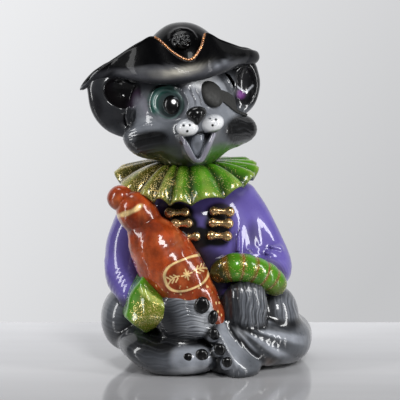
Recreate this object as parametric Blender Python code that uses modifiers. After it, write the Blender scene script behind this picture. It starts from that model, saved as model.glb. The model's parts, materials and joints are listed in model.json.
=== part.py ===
"""Glazed ceramic money box in the shape of a seated cat in a pirate's hat, hugging a bottle.

Metres, +Z up. The cat faces -Y. "left" and "right" in names are the cat's own, so its right hand
is on the -X side. The forms are laid out around the middle of the seat, and an empty then places
the whole figure, so that the world's origin is on the table under the middle of the figure.
The seat, jacket, head and hat crown are one hollow for the coins: a slot in the jacket's back
lets them in, and a rubber bung in the floor lets them out.
"""

import math

import bmesh
import bpy
from mathutils import Euler, Matrix, Vector

# Driving dimensions
GAP = 0.0003  # clearance that every piece keeps to its neighbour
WALL = 0.004  # thickness of the hollow casting
SEAT_PLACE = (0.0065, 0.0082, 0)  # middle of the seat, from the middle of the whole figure
SEAT_TOP = 0.058  # height of the joint between seat and jacket
BODY_DEPTH_SHARE = 0.78  # front-to-back radius of seat and jacket, as a share of their side radius
BODY_CENTRE_Y = 0.003
JACKET_LEAN = -0.09  # sideways shift of the jacket for each metre of height
NECK_RADIUS, NECK_TOP, NECK_BORE = 0.023, 0.166, 0.018

# Head: everything above the ruff is placed in the head's own tilted frame
HEAD_CENTRE = Vector((-0.017, -0.004, 0.196))
HEAD_TURN = Euler((math.radians(-8), math.radians(-9), math.radians(15)))
HEAD_RADII = (0.051, 0.042, 0.046)
SKULL_LIFT = 0.004
HAT_BASE_Z = 0.031  # underside of the hat, on the head's axis
HAT_BASE_ROLL = math.radians(8)  # the underside sits level although the head leans
CROWN_CENTRE, CROWN_RADII = Vector((0, 0.003, 0.043)), (0.044, 0.041, 0.040)

# Hat brim edge: angle from the front in degrees, then radius and height, mirrored left to right
HAT_EDGE = (
    (0, 0.049, 0.049),
    (27, 0.047, 0.069),
    (62, 0.055, 0.060),
    (95, 0.077, 0.043),
    (137, 0.056, 0.064),
    (180, 0.062, 0.046),
)
NOTCH_HALF_ANGLE = HAT_EDGE[1][0]

# Ruff collar
RUFF_CENTRE = Vector((-0.0095, -0.008, 0))
RUFF_RADII = (0.058, 0.051)
RUFF_PLEATS = 22

# Bottle: centre line from the bottom up, with the radius at each point
BOTTLE_LINE = (
    ((0.016, -0.052, 0.038), 0.0150),
    ((0.011, -0.053, 0.046), 0.0180),
    ((0.000, -0.053, 0.064), 0.0210),
    ((-0.013, -0.052, 0.082), 0.0225),
    ((-0.026, -0.050, 0.101), 0.0195),
    ((-0.037, -0.048, 0.112), 0.0140),
    ((-0.045, -0.046, 0.119), 0.0125),
    ((-0.050, -0.045, 0.1245), 0.0155),
    ((-0.0555, -0.044, 0.129), 0.0155),
    ((-0.0605, -0.043, 0.133), 0.0110),
)

# Bung in the floor
BUNG_HOLE_RADIUS, BUNG_FLANGE_RADIUS = 0.0145, 0.019
FLOOR_RECESS, FLOOR_THICKNESS = 0.004, 0.005
BUNG_STEM = 0.010

COIN_SLOT = (0.038, 0.005)  # length and width
COIN_SLOT_HEIGHT = 0.112

parts = bpy.data.collections.new("pirate_cat_money_box")
helpers = bpy.data.collections.new("cutters")
materials = {}


def clear_scene():
    for obj in list(bpy.data.objects):
        bpy.data.objects.remove(obj)
    bpy.context.scene.collection.children.link(parts)
    bpy.context.scene.collection.children.link(helpers)


def add_seat_empty():
    """Parent of the whole model, at the middle of the seat."""
    empty = bpy.data.objects.new("middle_of_seat", None)
    empty.location = SEAT_PLACE
    parts.objects.link(empty)


def glaze(name, colour, roughness=0.08, metallic=0.0):
    material = bpy.data.materials.new(name)
    material.use_nodes = True
    shader = material.node_tree.nodes["Principled BSDF"]
    shader.inputs["Base Color"].default_value = (*colour, 1)
    shader.inputs["Roughness"].default_value = roughness
    shader.inputs["Metallic"].default_value = metallic
    materials[name] = material


def define_materials():
    glaze("grey_glaze", (0.13, 0.13, 0.14))
    glaze("white_glaze", (0.70, 0.70, 0.72))
    glaze("black_glaze", (0.008, 0.008, 0.009))
    glaze("hat_glaze", (0.012, 0.012, 0.013))
    glaze("purple_glaze", (0.10, 0.06, 0.30))
    glaze("green_glaze", (0.08, 0.28, 0.01))
    glaze("bottle_glaze", (0.40, 0.07, 0.01))
    glaze("gold_lustre", (0.55, 0.30, 0.10), 0.25, 1.0)
    glaze("rubber", (0.05, 0.05, 0.05), 0.7)


# ---- Mesh helpers ----


def add_mesh(name, mesh, place=None):
    """A helper object, moved by a matrix that goes into its vertices."""
    if place is not None:
        mesh.transform(place)
    obj = bpy.data.objects.new(name, mesh)
    helpers.objects.link(obj)
    obj.hide_render = True
    obj.display_type = "WIRE"
    return obj


def bake(obj):
    """Replaces an object's mesh or curve by what its modifiers make of it, as a new mesh helper."""
    bpy.context.view_layer.update()
    graph = bpy.context.evaluated_depsgraph_get()
    mesh = bpy.data.meshes.new_from_object(obj.evaluated_get(graph))
    weld = bmesh.new()
    weld.from_mesh(mesh)
    bmesh.ops.remove_doubles(weld, verts=weld.verts, dist=1e-6)
    weld.to_mesh(mesh)
    weld.free()
    made = add_mesh(obj.name + "_baked", mesh, obj.matrix_world)
    name = obj.name
    bpy.data.objects.remove(obj)
    made.name = name
    return made


def head_place():
    return Matrix.Translation(HEAD_CENTRE) @ HEAD_TURN.to_matrix().to_4x4()


def blob(name, centre, radii, turn=(0, 0, 0), place=None, segments=24):
    """An ellipsoid. turn is in degrees, and place moves it into another frame."""
    bm = bmesh.new()
    bmesh.ops.create_uvsphere(bm, u_segments=segments, v_segments=segments // 2, radius=1)
    mesh = bpy.data.meshes.new(name)
    bm.to_mesh(mesh)
    bm.free()
    tilt = Euler([math.radians(a) for a in turn]).to_matrix().to_4x4()
    own = Matrix.Translation(centre) @ tilt @ Matrix.Diagonal((*radii, 1))
    return add_mesh(name, mesh, (place or Matrix.Identity(4)) @ own)


def box(name, low, high):
    bm = bmesh.new()
    bmesh.ops.create_cube(bm, size=1)
    mesh = bpy.data.meshes.new(name)
    bm.to_mesh(mesh)
    bm.free()
    low, high = Vector(low), Vector(high)
    own = Matrix.Translation((low + high) / 2) @ Matrix.Diagonal((*(high - low), 1))
    return add_mesh(name, mesh, own)


def turned(name, profile, steps=40):
    """A turned solid. profile is (radius, height) down the outer side, from axis to axis."""
    mesh = bpy.data.meshes.new(name)
    edges = [(i, i + 1) for i in range(len(profile) - 1)]
    mesh.from_pydata([(r, 0, z) for r, z in profile], edges, [])
    obj = bpy.data.objects.new(name, mesh)
    helpers.objects.link(obj)
    screw = obj.modifiers.new("turn", "SCREW")
    screw.steps = screw.render_steps = steps
    screw.use_merge_vertices = True
    screw.merge_threshold = 1e-5
    return bake(obj)


def tapered(name, line, sides=4, smooth_points=3):
    """A limb or bottle: a smooth tube through the points of line, with its own radius at each."""
    curve = bpy.data.curves.new(name, "CURVE")
    curve.dimensions = "3D"
    curve.bevel_depth = 1.0
    curve.bevel_resolution = sides
    curve.use_fill_caps = True
    curve.resolution_u = smooth_points
    spline = curve.splines.new("NURBS")
    spline.points.add(len(line) - 1)
    spline.order_u = 3
    spline.use_endpoint_u = True
    for point, (place, radius) in zip(spline.points, line):
        point.co = (*place, 1)
        point.radius = radius
    obj = bpy.data.objects.new(name, curve)
    helpers.objects.link(obj)
    return bake(obj)


def loft(name, rings, place=None):
    """A ring-shaped solid: each ring is a closed section, and the last joins the first."""
    count, size = len(rings), len(rings[0])
    bm = bmesh.new()
    verts = [[bm.verts.new(p) for p in ring] for ring in rings]
    for i in range(count):
        here, after = verts[i], verts[(i + 1) % count]
        for j in range(size):
            k = (j + 1) % size
            bm.faces.new((here[j], here[k], after[k], after[j]))
    bmesh.ops.recalc_face_normals(bm, faces=bm.faces)
    mesh = bpy.data.meshes.new(name)
    bm.to_mesh(mesh)
    bm.free()
    return add_mesh(name, mesh, place)


def combine(target, other, operation):
    """Boolean of two helpers. The target keeps its name, and the other is left as it is."""
    modifier = target.modifiers.new(operation.lower(), "BOOLEAN")
    modifier.operation = operation
    modifier.use_self = True
    modifier.object = other
    return bake(target)


def join(name, *pieces):
    whole = pieces[0]
    for piece in pieces[1:]:
        whole = combine(whole, piece, "UNION")
        bpy.data.objects.remove(piece)
    whole.name = name
    return whole


def grown(obj, by):
    """A copy with every vertex moved out by a distance along its normal."""
    copy = add_mesh(obj.name + "_grown", obj.data.copy())
    move = copy.modifiers.new("grow", "DISPLACE")
    move.strength = by
    move.mid_level = 0
    return bake(copy)


def keep_largest_body(obj):
    """Drops the loose chips that a cut can leave beside the main body."""
    bm = bmesh.new()
    bm.from_mesh(obj.data)
    bodies, left = [], set(bm.verts)
    while left:
        stack, body = [left.pop()], set()
        while stack:
            vert = stack.pop()
            body.add(vert)
            for edge in vert.link_edges:
                other = edge.other_vert(vert)
                if other in left:
                    left.discard(other)
                    stack.append(other)
        bodies.append(body)
    main = max(bodies, key=len)
    chips = [v for v in bm.verts if v not in main]
    bmesh.ops.delete(bm, geom=chips, context="VERTS")
    bm.to_mesh(obj.data)
    bm.free()
    return obj


def cut(target, *cutters):
    """Takes helpers out of the target, and removes them."""
    for cutter in cutters:
        target = combine(target, cutter, "DIFFERENCE")
        bpy.data.objects.remove(cutter)
    return target


def fit(piece, *neighbours):
    """Cuts a piece back so that it clears its neighbours by GAP, and keeps its main body."""
    for neighbour in neighbours:
        piece = cut(piece, grown(neighbour, GAP))
    return keep_largest_body(piece)


def finish(obj, material):
    """Makes a helper a part of the model."""
    helpers.objects.unlink(obj)
    parts.objects.link(obj)
    obj.hide_render = False
    obj.display_type = "TEXTURED"
    obj.parent = bpy.data.objects["middle_of_seat"]
    obj.data.materials.clear()
    obj.data.materials.append(materials[material])
    obj.data.shade_smooth()
    obj.data.set_sharp_from_angle(angle=math.radians(40))
    return obj


# ---- Hollow body: seat, jacket, head and hat crown ----

SEAT_PROFILE = (
    (0.064, SEAT_TOP - GAP),
    (0.072, 0.050),
    (0.077, 0.036),
    (0.076, 0.020),
    (0.068, 0.007),
    (0.058, 0.000),
)
JACKET_PROFILE = (
    (NECK_RADIUS, NECK_TOP),
    (NECK_RADIUS, 0.152),
    (0.034, 0.147),
    (0.046, 0.138),
    (0.053, 0.122),
    (0.058, 0.100),
    (0.062, 0.078),
    (0.064, SEAT_TOP),
)


def body_place(lean):
    """Squashes a turned body front to back, and leans it sideways above the seat joint."""
    squash = Matrix.Diagonal((1, BODY_DEPTH_SHARE, 1, 1))
    shear = Matrix.Identity(4)
    shear[0][2] = lean
    shear[0][3] = -lean * SEAT_TOP
    return Matrix.Translation((0, BODY_CENTRE_Y, 0)) @ shear @ squash


def body_form(name, profile, lean):
    """The outer form of seat or jacket, closed on the axis."""
    closed = [(0, profile[0][1]), *profile, (0, profile[-1][1])]
    form = turned(name, closed)
    form.data.transform(body_place(lean))
    return form


def radius_at(profile, height):
    """Radius of a profile, which runs downwards, at a height."""
    for (r0, z0), (r1, z1) in zip(profile, profile[1:]):
        if z0 >= height >= z1:
            return r0 + (r1 - r0) * (z0 - height) / (z0 - z1)
    return profile[0][0] if height > profile[0][1] else profile[-1][0]


def body_cavity(name, profile, lean, low, high):
    """The hollow inside a body form: its profile moved in by the wall, between two heights."""
    inner = [(r - WALL, z) for r, z in profile if low < z < high]
    top, bottom = radius_at(profile, high) - WALL, radius_at(profile, low) - WALL
    closed = [(0, high), (top, high), *inner, (bottom, low), (0, low)]
    hollow = turned(name, closed)
    hollow.data.transform(body_place(lean))
    return hollow


def seat_shell(form):
    floor_top = FLOOR_RECESS + FLOOR_THICKNESS
    hollow = body_cavity("seat_hollow", SEAT_PROFILE, 0, floor_top, SEAT_TOP + WALL)
    recess_radius = BUNG_FLANGE_RADIUS + WALL
    under = (
        (0, floor_top + WALL),
        (BUNG_HOLE_RADIUS, floor_top + WALL),
        (BUNG_HOLE_RADIUS, FLOOR_RECESS),
        (recess_radius, FLOOR_RECESS),
        (recess_radius, -WALL),
        (0, -WALL),
    )
    return cut(form, hollow, turned("floor_opening", under))


def jacket_shell(form):
    shoulder = JACKET_PROFILE[3][1] + WALL / 2
    bottom = SEAT_TOP - WALL
    hollow = body_cavity("jacket_hollow", JACKET_PROFILE, JACKET_LEAN, bottom, shoulder)
    bore_low, bore_high = shoulder - WALL, NECK_TOP + WALL
    bore = turned("neck_bore", ((0, bore_high), (NECK_BORE, bore_high), (NECK_BORE, bore_low), (0, bore_low)))
    bore.data.transform(body_place(JACKET_LEAN))
    length, width = COIN_SLOT
    shift = JACKET_LEAN * (COIN_SLOT_HEIGHT - SEAT_TOP)
    slot = box(
        "slot",
        (shift - length / 2, 0.030, COIN_SLOT_HEIGHT - width / 2),
        (shift + length / 2, 0.070, COIN_SLOT_HEIGHT + width / 2),
    )
    return cut(form, hollow, bore, slot)


def head_form():
    place = head_place()
    skull = blob("skull", (0, 0, SKULL_LIFT), HEAD_RADII, place=place, segments=32)
    cheeks = [
        blob("cheek", (side * 0.031, -0.010, z), (0.026, 0.023, 0.019), (0, side * 14, 0), place)
        for side, z in ((-1, -0.006), (1, -0.012))
    ]
    jowl = blob("jowl", (-0.001, -0.014, -0.021), (0.034, 0.027, 0.021), place=place)
    return join("head_shell", skull, *cheeks, jowl)


def hat_base_place():
    """Frame of the hat's underside, with its plane at zero height."""
    return head_place() @ Matrix.Translation((0, 0, HAT_BASE_Z)) @ Matrix.Rotation(HAT_BASE_ROLL, 4, "Y")


def head_shell(form):
    place = head_place()
    top = box("above_hat_base", (-0.1, -0.1, -GAP), (0.1, 0.1, 0.1))
    top.data.transform(hat_base_place())
    hollow = blob("head_hollow", (0, 0.001, SKULL_LIFT), [r - WALL for r in HEAD_RADII], place=place)
    return cut(form, top, hollow)


def crown_form():
    place = head_place()
    dome = blob("hat_crown", CROWN_CENTRE, CROWN_RADII, place=place, segments=32)
    below = box("below_hat_base", (-0.1, -0.1, -0.1), (0.1, 0.1, 0))
    below.data.transform(hat_base_place())
    return cut(dome, below)


def hat_crown(form):
    place = head_place()
    inside = [r - WALL for r in CROWN_RADII]
    hollow = blob("crown_hollow", CROWN_CENTRE, inside, place=place)
    below = box("crown_floor", (-0.1, -0.1, -0.1), (0.1, 0.1, WALL))
    below.data.transform(hat_base_place())
    hollow = cut(hollow, below)
    opening_radius = HEAD_RADII[0] / 2
    rim = ((0, 0.06), (opening_radius, 0.06), (opening_radius, 0.02), (0, 0.02))
    opening = turned("crown_opening", rim)
    opening.data.transform(place)
    return cut(form, hollow, opening)


# ---- Hat brim and trimmings ----


def hat_edge(angle):
    """Radius and height of the brim's edge at an angle in degrees from the front."""
    angle = abs((angle + 180) % 360 - 180)
    for (a0, r0, z0), (a1, r1, z1) in zip(HAT_EDGE, HAT_EDGE[1:]):
        if angle <= a1:
            share = (angle - a0) / (a1 - a0)
            return r0 + (r1 - r0) * share, z0 + (z1 - z0) * share
    return HAT_EDGE[-1][1:]


def around_crown(angle, radius, height):
    a = math.radians(angle)
    return Vector((radius * math.sin(a), CROWN_CENTRE.y - radius * math.cos(a), height))


def hat_brim():
    """The brim turned up against the crown, thick at its root and thinner at its edge."""
    root_in, root_out, lip = 0.030, 0.049, 0.0045
    slope = math.tan(HAT_BASE_ROLL)
    rings = []
    for step in range(72):
        angle = step * 5
        radius, height = hat_edge(angle)
        middle = root_out + (radius - root_out) * 0.75
        side = math.sin(math.radians(angle))
        base_in, base_out = (HAT_BASE_Z - slope * side * r for r in (root_in, root_out))
        section = (
            (root_in, base_in),
            (root_out, base_out + 0.002),
            (middle, base_out + (height - base_out) * 0.35),
            (radius, height),
            (radius - lip, height + 0.001),
            (root_in, base_in + 0.012),
        )
        rings.append([around_crown(angle, r, z) for r, z in section])
    return loft("hat_brim", rings, head_place())


def hat_trim():
    """Gold cord along the notch in the front of the brim."""
    steps = range(-NOTCH_HALF_ANGLE, NOTCH_HALF_ANGLE + 1, 9)
    line = []
    for angle in steps:
        radius, height = hat_edge(angle)
        line.append((head_place() @ around_crown(angle, radius, height + 0.001), 0.0018))
    return tapered("hat_trim", line, sides=2, smooth_points=2)


def hat_emblem():
    return blob("hat_emblem", (0, -0.034, 0.062), (0.010, 0.004, 0.010), (-25, 0, 0), head_place(), 16)


# ---- Face ----


def ear_form(name, side):
    """An ear that stands out sideways under the brim."""
    return blob(name, (side * 0.055, 0.006, 0.021), (0.019, 0.010, 0.025), (0, side * 24, 0), head_place())


def ear_cup(side):
    return blob("cup", (side * 0.056, -0.005, 0.021), (0.013, 0.009, 0.019), (0, side * 24, 0), head_place())


def muzzle_puff(name, side):
    centre = (side * 0.0105, -0.044, -0.005)
    return blob(name, centre, (0.0125, 0.011, 0.0095), (0, side * -8, 0), head_place(), 16)


def lower_jaw():
    """The lower lip, a pointed bowl under the muzzle."""
    return blob("lower_jaw", (-0.0035, -0.038, -0.0235), (0.0135, 0.0125, 0.015), place=head_place(), segments=16)


def open_mouth():
    return blob("mouth", (-0.0035, -0.051, -0.0195), (0.0085, 0.009, 0.0105), place=head_place(), segments=16)


def nose():
    return blob("nose", (-0.001, -0.0520, 0.0035), (0.0080, 0.0060, 0.0060), (20, 0, 0), head_place(), 16)


def eye():
    return blob("right_eye", (-0.0155, -0.0365, 0.0165), (0.0066, 0.004, 0.0085), (-22, 0, -18), head_place(), 16)


def eye_patch():
    return blob("eye_patch", (0.0180, -0.0345, 0.0180), (0.0115, 0.0045, 0.0125), (-22, 0, 22), head_place(), 16)


def patch_strap():
    """Band from the patch back under the left ear."""
    line = [
        ((0.026, -0.0345, 0.016), 0.0028),
        ((0.035, -0.0300, 0.012), 0.0030),
        ((0.044, -0.0220, 0.007), 0.0030),
        ((0.050, -0.0120, 0.001), 0.0026),
    ]
    return tapered("patch_strap", [(head_place() @ Vector(p), r) for p, r in line], sides=2)


# ---- Ruff, bottle and clasps ----


def ruff_collar():
    """A pleated collar that falls outwards, lowest in front of the chest."""
    rings = []
    samples = RUFF_PLEATS * 6
    inner, thickness = NECK_RADIUS + 0.0015, 0.005
    for step in range(samples):
        a = 2 * math.pi * step / samples
        fold = math.cos(RUFF_PLEATS * a)
        ahead = (1 + math.cos(a)) / 2  # 1 in front, 0 behind
        outer_z = 0.155 - 0.017 * ahead**2 + 0.0035 * fold
        swell = 1 + 0.03 * fold
        direction = Vector((math.sin(a), -math.cos(a), 0))

        def at(radius_x, radius_y, z):
            return RUFF_CENTRE + Vector((direction.x * radius_x, direction.y * radius_y, z))

        rx, ry = RUFF_RADII[0] * swell, RUFF_RADII[1] * swell
        rings.append(
            [
                at(inner, inner, 0.158),
                at(rx, ry, outer_z),
                at(rx, ry, outer_z - thickness),
                at(inner, inner, 0.150),
            ]
        )
    return loft("ruff_collar", rings)


def bottle():
    return tapered("bottle", BOTTLE_LINE, sides=5)


def bottle_stopper():
    return blob("bottle_stopper", (-0.0668, -0.0415, 0.1382), (0.0088, 0.0088, 0.0088), segments=16)


def bottle_label():
    """Raised oval plate on the bottle's front."""
    return blob("bottle_label", (-0.013, -0.066, 0.084), (0.019, 0.0105, 0.0135), (0, -27, 12), segments=20)


def clasp(name, centre, side):
    """A bar with a bead at its outer end."""
    x, y, z = centre
    bar = tapered("bar", [((x - 0.007, y, z), 0.0024), ((x, y - 0.001, z), 0.0018), ((x + 0.007, y, z), 0.0024)], 1)
    bead = blob("bead", (x + side * 0.0075, y - 0.0008, z), (0.003, 0.003, 0.003), segments=10)
    return join(name, bar, bead)


# ---- Arms, hands, legs and tail ----

RIGHT_SLEEVE = (
    ((-0.040, 0.000, 0.133), 0.013),
    ((-0.054, -0.003, 0.118), 0.017),
    ((-0.061, -0.007, 0.095), 0.018),
    ((-0.062, -0.016, 0.074), 0.018),
    ((-0.056, -0.030, 0.062), 0.016),
)
LEFT_SLEEVE = (
    ((0.032, 0.002, 0.134), 0.013),
    ((0.043, -0.002, 0.118), 0.017),
    ((0.051, -0.006, 0.098), 0.018),
    ((0.056, -0.014, 0.078), 0.017),
    ((0.050, -0.032, 0.074), 0.014),
)
RIGHT_CUFF = (
    ((-0.060, -0.036, 0.064), 0.014),
    ((-0.051, -0.045, 0.058), 0.021),
    ((-0.038, -0.055, 0.055), 0.024),
)
LEFT_CUFF = (
    ((0.018, -0.052, 0.076), 0.008),
    ((0.027, -0.050, 0.086), 0.0105),
    ((0.041, -0.045, 0.084), 0.0115),
    ((0.053, -0.040, 0.074), 0.011),
    ((0.056, -0.038, 0.064), 0.008),
)
TAIL_LINE = (
    ((0.034, 0.038, 0.024), 0.009),
    ((0.058, 0.036, 0.020), 0.0150),
    ((0.071, 0.016, 0.018), 0.0165),
    ((0.071, -0.006, 0.018), 0.0165),
    ((0.066, -0.024, 0.019), 0.018),
    ((0.045, -0.046, 0.022), 0.016),
    ((0.028, -0.057, 0.034), 0.008),
)
FLOOR_CLEARANCE_BOX = ((-0.2, -0.2, -0.1), (0.2, 0.2, 0.0))


def above_floor(obj):
    return cut(obj, box("table", *FLOOR_CLEARANCE_BOX))


def claw(name, centre, radius=0.0034):
    x, y, z = centre
    return blob(name, (x, y, z), (radius, radius, radius * 1.15), segments=10)


CLAWS = {
    "right_hand": ((-0.003, -0.0755, 0.0585), (0.006, -0.0735, 0.0495)),
    "left_foot": ((0.0065, -0.073, 0.036), (0.011, -0.0755, 0.025), (0.0165, -0.077, 0.0155)),
    "right_foot": ((-0.0145, -0.075, 0.017), (-0.003, -0.0755, 0.0195)),
}


def bung():
    """Rubber stopper: a flange under the floor, a slightly tapered stem and a finger recess."""
    low = FLOOR_RECESS - GAP - 0.0022
    top = low + BUNG_STEM
    radius = BUNG_HOLE_RADIUS - GAP
    profile = (
        (0, top),
        (radius - 0.001, top),
        (radius, top - 0.002),
        (radius, FLOOR_RECESS - GAP),
        (BUNG_FLANGE_RADIUS, FLOOR_RECESS - GAP),
        (BUNG_FLANGE_RADIUS, low + 0.0006),
        (BUNG_FLANGE_RADIUS - 0.0006, low),
        (0.008, low),
        (0.007, low + 0.004),
        (0, low + 0.004),
    )
    return turned("bung", profile)


def build():
    clear_scene()
    add_seat_empty()
    define_materials()

    seat = body_form("seat_shell", SEAT_PROFILE, 0)
    jacket = body_form("jacket_shell", JACKET_PROFILE, JACKET_LEAN)
    head = fit(head_form(), jacket)
    crown = crown_form()
    right_ear = fit(ear_form("right_ear", -1), head, crown)
    left_ear = fit(ear_form("left_ear", 1), head, crown)
    brim = fit(hat_brim(), crown, head, right_ear, left_ear)

    ruff = fit(ruff_collar(), jacket, head)
    right_hand = blob("right_hand", (-0.014, -0.062, 0.048), (0.028, 0.015, 0.020), (0, 8, 0))
    right_hand = fit(right_hand, seat, jacket)
    flask = fit(bottle(), jacket, ruff, seat, right_hand)
    flask_top = fit(bottle_stopper(), flask, ruff, jacket)
    label = fit(bottle_label(), flask)

    right_sleeve = fit(tapered("right_sleeve", RIGHT_SLEEVE), jacket, seat, flask, flask_top, ruff)
    left_sleeve = fit(tapered("left_sleeve", LEFT_SLEEVE), jacket, seat, ruff)
    right_hand = fit(right_hand, right_sleeve)
    right_cuff = fit(tapered("right_cuff", RIGHT_CUFF, 5), right_sleeve, jacket, seat, flask, label, right_hand)
    left_cuff = fit(tapered("left_cuff", LEFT_CUFF), left_sleeve, jacket, seat, flask, label)

    right_knee = blob("right_knee", (-0.063, -0.012, 0.036), (0.020, 0.027, 0.027))
    left_knee = blob("left_knee", (0.061, -0.016, 0.038), (0.018, 0.024, 0.024))
    arms = (jacket, right_sleeve, left_sleeve, right_cuff, left_cuff, right_hand)
    right_knee = fit(above_floor(right_knee), seat, *arms)
    left_knee = fit(above_floor(left_knee), seat, *arms)

    left_hand = blob("left_hand", (0.036, -0.052, 0.055), (0.020, 0.014, 0.025), (0, 4, 0))
    left_hand = fit(left_hand, seat, jacket, flask, label, left_cuff, left_knee, left_sleeve, right_hand)

    left_foot = blob("left_foot", (0.019, -0.060, 0.022), (0.016, 0.017, 0.026), (0, -24, 0))
    right_foot = blob("right_foot", (-0.026, -0.056, 0.015), (0.036, 0.020, 0.016), (0, 4, 0))
    left_foot = fit(above_floor(left_foot), seat, flask, right_hand, left_hand)
    right_foot = fit(above_floor(right_foot), seat, right_knee, right_hand, left_foot)
    tail_near = (seat, left_knee, left_hand, left_foot, flask)
    tail = fit(above_floor(tapered("tail", TAIL_LINE)), *tail_near)

    limbs = {"right_hand": right_hand, "left_foot": left_foot, "right_foot": right_foot}
    for limb, places in CLAWS.items():
        for number, place in enumerate(places, 1):
            tip = fit(claw(f"{limb}_claw_{number}", place), *limbs.values(), flask, seat)
            finish(tip, "black_glaze")

    clasps = {
        "left_clasp_top": ((0.012, -0.041, 0.1285), 1),
        "left_clasp_middle": ((0.011, -0.044, 0.1195), 1),
        "left_clasp_bottom": ((0.010, -0.046, 0.1095), 1),
        "right_clasp_top": ((-0.021, -0.040, 0.1275), -1),
        "right_clasp_middle": ((-0.0185, -0.044, 0.1185), -1),
        "right_clasp_bottom": ((-0.0090, -0.0465, 0.1085), -1),
    }
    for name, (centre, side) in clasps.items():
        finish(fit(clasp(name, centre, side), jacket, flask, ruff), "gold_lustre")

    jaw = fit(lower_jaw(), head, ruff)
    puffs = [fit(muzzle_puff("right_muzzle", -1), head, jaw)]
    puffs.append(fit(muzzle_puff("left_muzzle", 1), head, jaw, puffs[0]))
    tip_of_nose = fit(nose(), head, *puffs)
    seeing = fit(eye(), head)
    patch = fit(eye_patch(), head)
    strap = fit(patch_strap(), head, patch, left_ear)
    trim = fit(hat_trim(), brim, crown)
    emblem = fit(hat_emblem(), crown, brim, trim)
    right_ear = cut(right_ear, ear_cup(-1))
    left_ear = cut(left_ear, ear_cup(1))
    jaw = cut(jaw, open_mouth())

    finish(seat_shell(seat), "grey_glaze")
    finish(jacket_shell(jacket), "purple_glaze")
    finish(head_shell(head), "grey_glaze")
    finish(hat_crown(crown), "hat_glaze")
    finish(bung(), "rubber")
    coats = {
        "hat_glaze": (brim, emblem),
        "gold_lustre": (trim, label),
        "grey_glaze": (right_ear, left_ear, jaw, right_knee, left_knee, right_hand, left_hand, tail),
        "white_glaze": puffs,
        "black_glaze": (tip_of_nose, seeing, patch, strap),
        "green_glaze": (ruff, right_cuff, left_cuff),
        "bottle_glaze": (flask, flask_top),
        "purple_glaze": (right_sleeve, left_sleeve),
    }
    for material, pieces in coats.items():
        for piece in pieces:
            finish(piece, material)
    for foot in (left_foot, right_foot):
        finish(foot, "grey_glaze")


build()
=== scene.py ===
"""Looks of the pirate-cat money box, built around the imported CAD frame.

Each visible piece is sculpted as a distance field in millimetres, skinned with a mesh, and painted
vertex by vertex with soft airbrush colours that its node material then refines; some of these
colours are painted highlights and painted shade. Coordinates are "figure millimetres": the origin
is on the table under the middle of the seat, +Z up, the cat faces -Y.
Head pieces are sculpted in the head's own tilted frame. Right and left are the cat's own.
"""

import json
import math
from concurrent.futures import ThreadPoolExecutor

import bmesh
import bpy
import numpy as np
from mathutils import Euler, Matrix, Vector


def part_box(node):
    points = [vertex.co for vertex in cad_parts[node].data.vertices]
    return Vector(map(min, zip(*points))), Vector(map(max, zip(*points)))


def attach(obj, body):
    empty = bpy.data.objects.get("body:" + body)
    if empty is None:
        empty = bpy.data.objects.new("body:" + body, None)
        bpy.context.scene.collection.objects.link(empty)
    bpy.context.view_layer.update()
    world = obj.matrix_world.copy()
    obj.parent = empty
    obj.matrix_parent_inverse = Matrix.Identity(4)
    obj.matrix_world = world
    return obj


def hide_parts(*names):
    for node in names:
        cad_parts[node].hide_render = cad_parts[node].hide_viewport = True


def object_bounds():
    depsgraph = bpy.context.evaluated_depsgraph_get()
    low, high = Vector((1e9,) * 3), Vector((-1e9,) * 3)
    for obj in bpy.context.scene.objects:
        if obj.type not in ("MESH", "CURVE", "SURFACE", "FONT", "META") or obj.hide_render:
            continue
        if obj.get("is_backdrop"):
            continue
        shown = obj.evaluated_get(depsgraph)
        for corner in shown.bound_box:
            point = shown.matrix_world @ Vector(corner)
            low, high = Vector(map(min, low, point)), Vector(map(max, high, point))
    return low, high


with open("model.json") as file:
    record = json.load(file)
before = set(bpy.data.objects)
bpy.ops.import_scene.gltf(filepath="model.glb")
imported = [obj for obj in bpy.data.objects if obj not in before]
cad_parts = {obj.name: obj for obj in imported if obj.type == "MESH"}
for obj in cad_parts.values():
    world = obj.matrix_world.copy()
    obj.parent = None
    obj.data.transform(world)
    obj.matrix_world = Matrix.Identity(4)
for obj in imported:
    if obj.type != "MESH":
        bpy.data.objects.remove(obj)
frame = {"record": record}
cad_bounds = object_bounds()

MM = 0.001
FLOOR_LIFT = 0.15  # height of the glazed foot ring above the table
GRID_FLOOR = -2.0  # the lower body's skinning grid starts just under the table
CELL = 0.75 * 1  # grid step for skinning, in mm
FINE = 0.55 * 1
HEAD_SHIFT = (-4.4, 0.15, 3.25)  # from the middle of the skull's box to the middle of the head
HEAD_TILT = (-8, -9, 15)  # degrees about X, Y and Z


# ---- Places, taken from the frame ----

BODY_Y = 3.0  # how far the body's middle is behind the origin


def corners(node):
    low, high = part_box(node)
    return np.array(low) / MM, np.array(high) / MM


def seat_middle():
    low, high = corners("seat_shell")
    middle = (low + high) / 2
    return np.array([middle[0], middle[1] - BODY_Y, 0.0])


HOME = seat_middle()


def box(node):
    """A node's box in figure millimetres."""
    low, high = corners(node)
    return low - HOME, high - HOME


def centre(node, x=0.0, y=0.0, z=0.0):
    """Middle of a node's box, moved by some millimetres."""
    low, high = box(node)
    return (low + high) / 2 + np.array([x, y, z])


def reach(node, margin):
    low, high = box(node)
    return low - margin, high + margin


def turned_axes(degrees):
    return np.array(Euler([math.radians(d) for d in degrees]).to_matrix())


HEAD = centre("head_shell", *HEAD_SHIFT)
HEAD_TURN = turned_axes(HEAD_TILT)


def to_head(p):
    return (p - HEAD) @ HEAD_TURN


def from_head(p):
    return np.asarray(p, float) @ HEAD_TURN.T + HEAD


# ---- Clay: distance fields ----

SKIRT = 4.0  # how far a piece reaches in under its neighbours
ROUND_EDGE = 0.8  # rounding of the openings' edges
FAR = 16.0  # stands for any distance from a piece that is out of reach
GAP = 18.0  # how far from its node's box a piece is within reach


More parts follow.
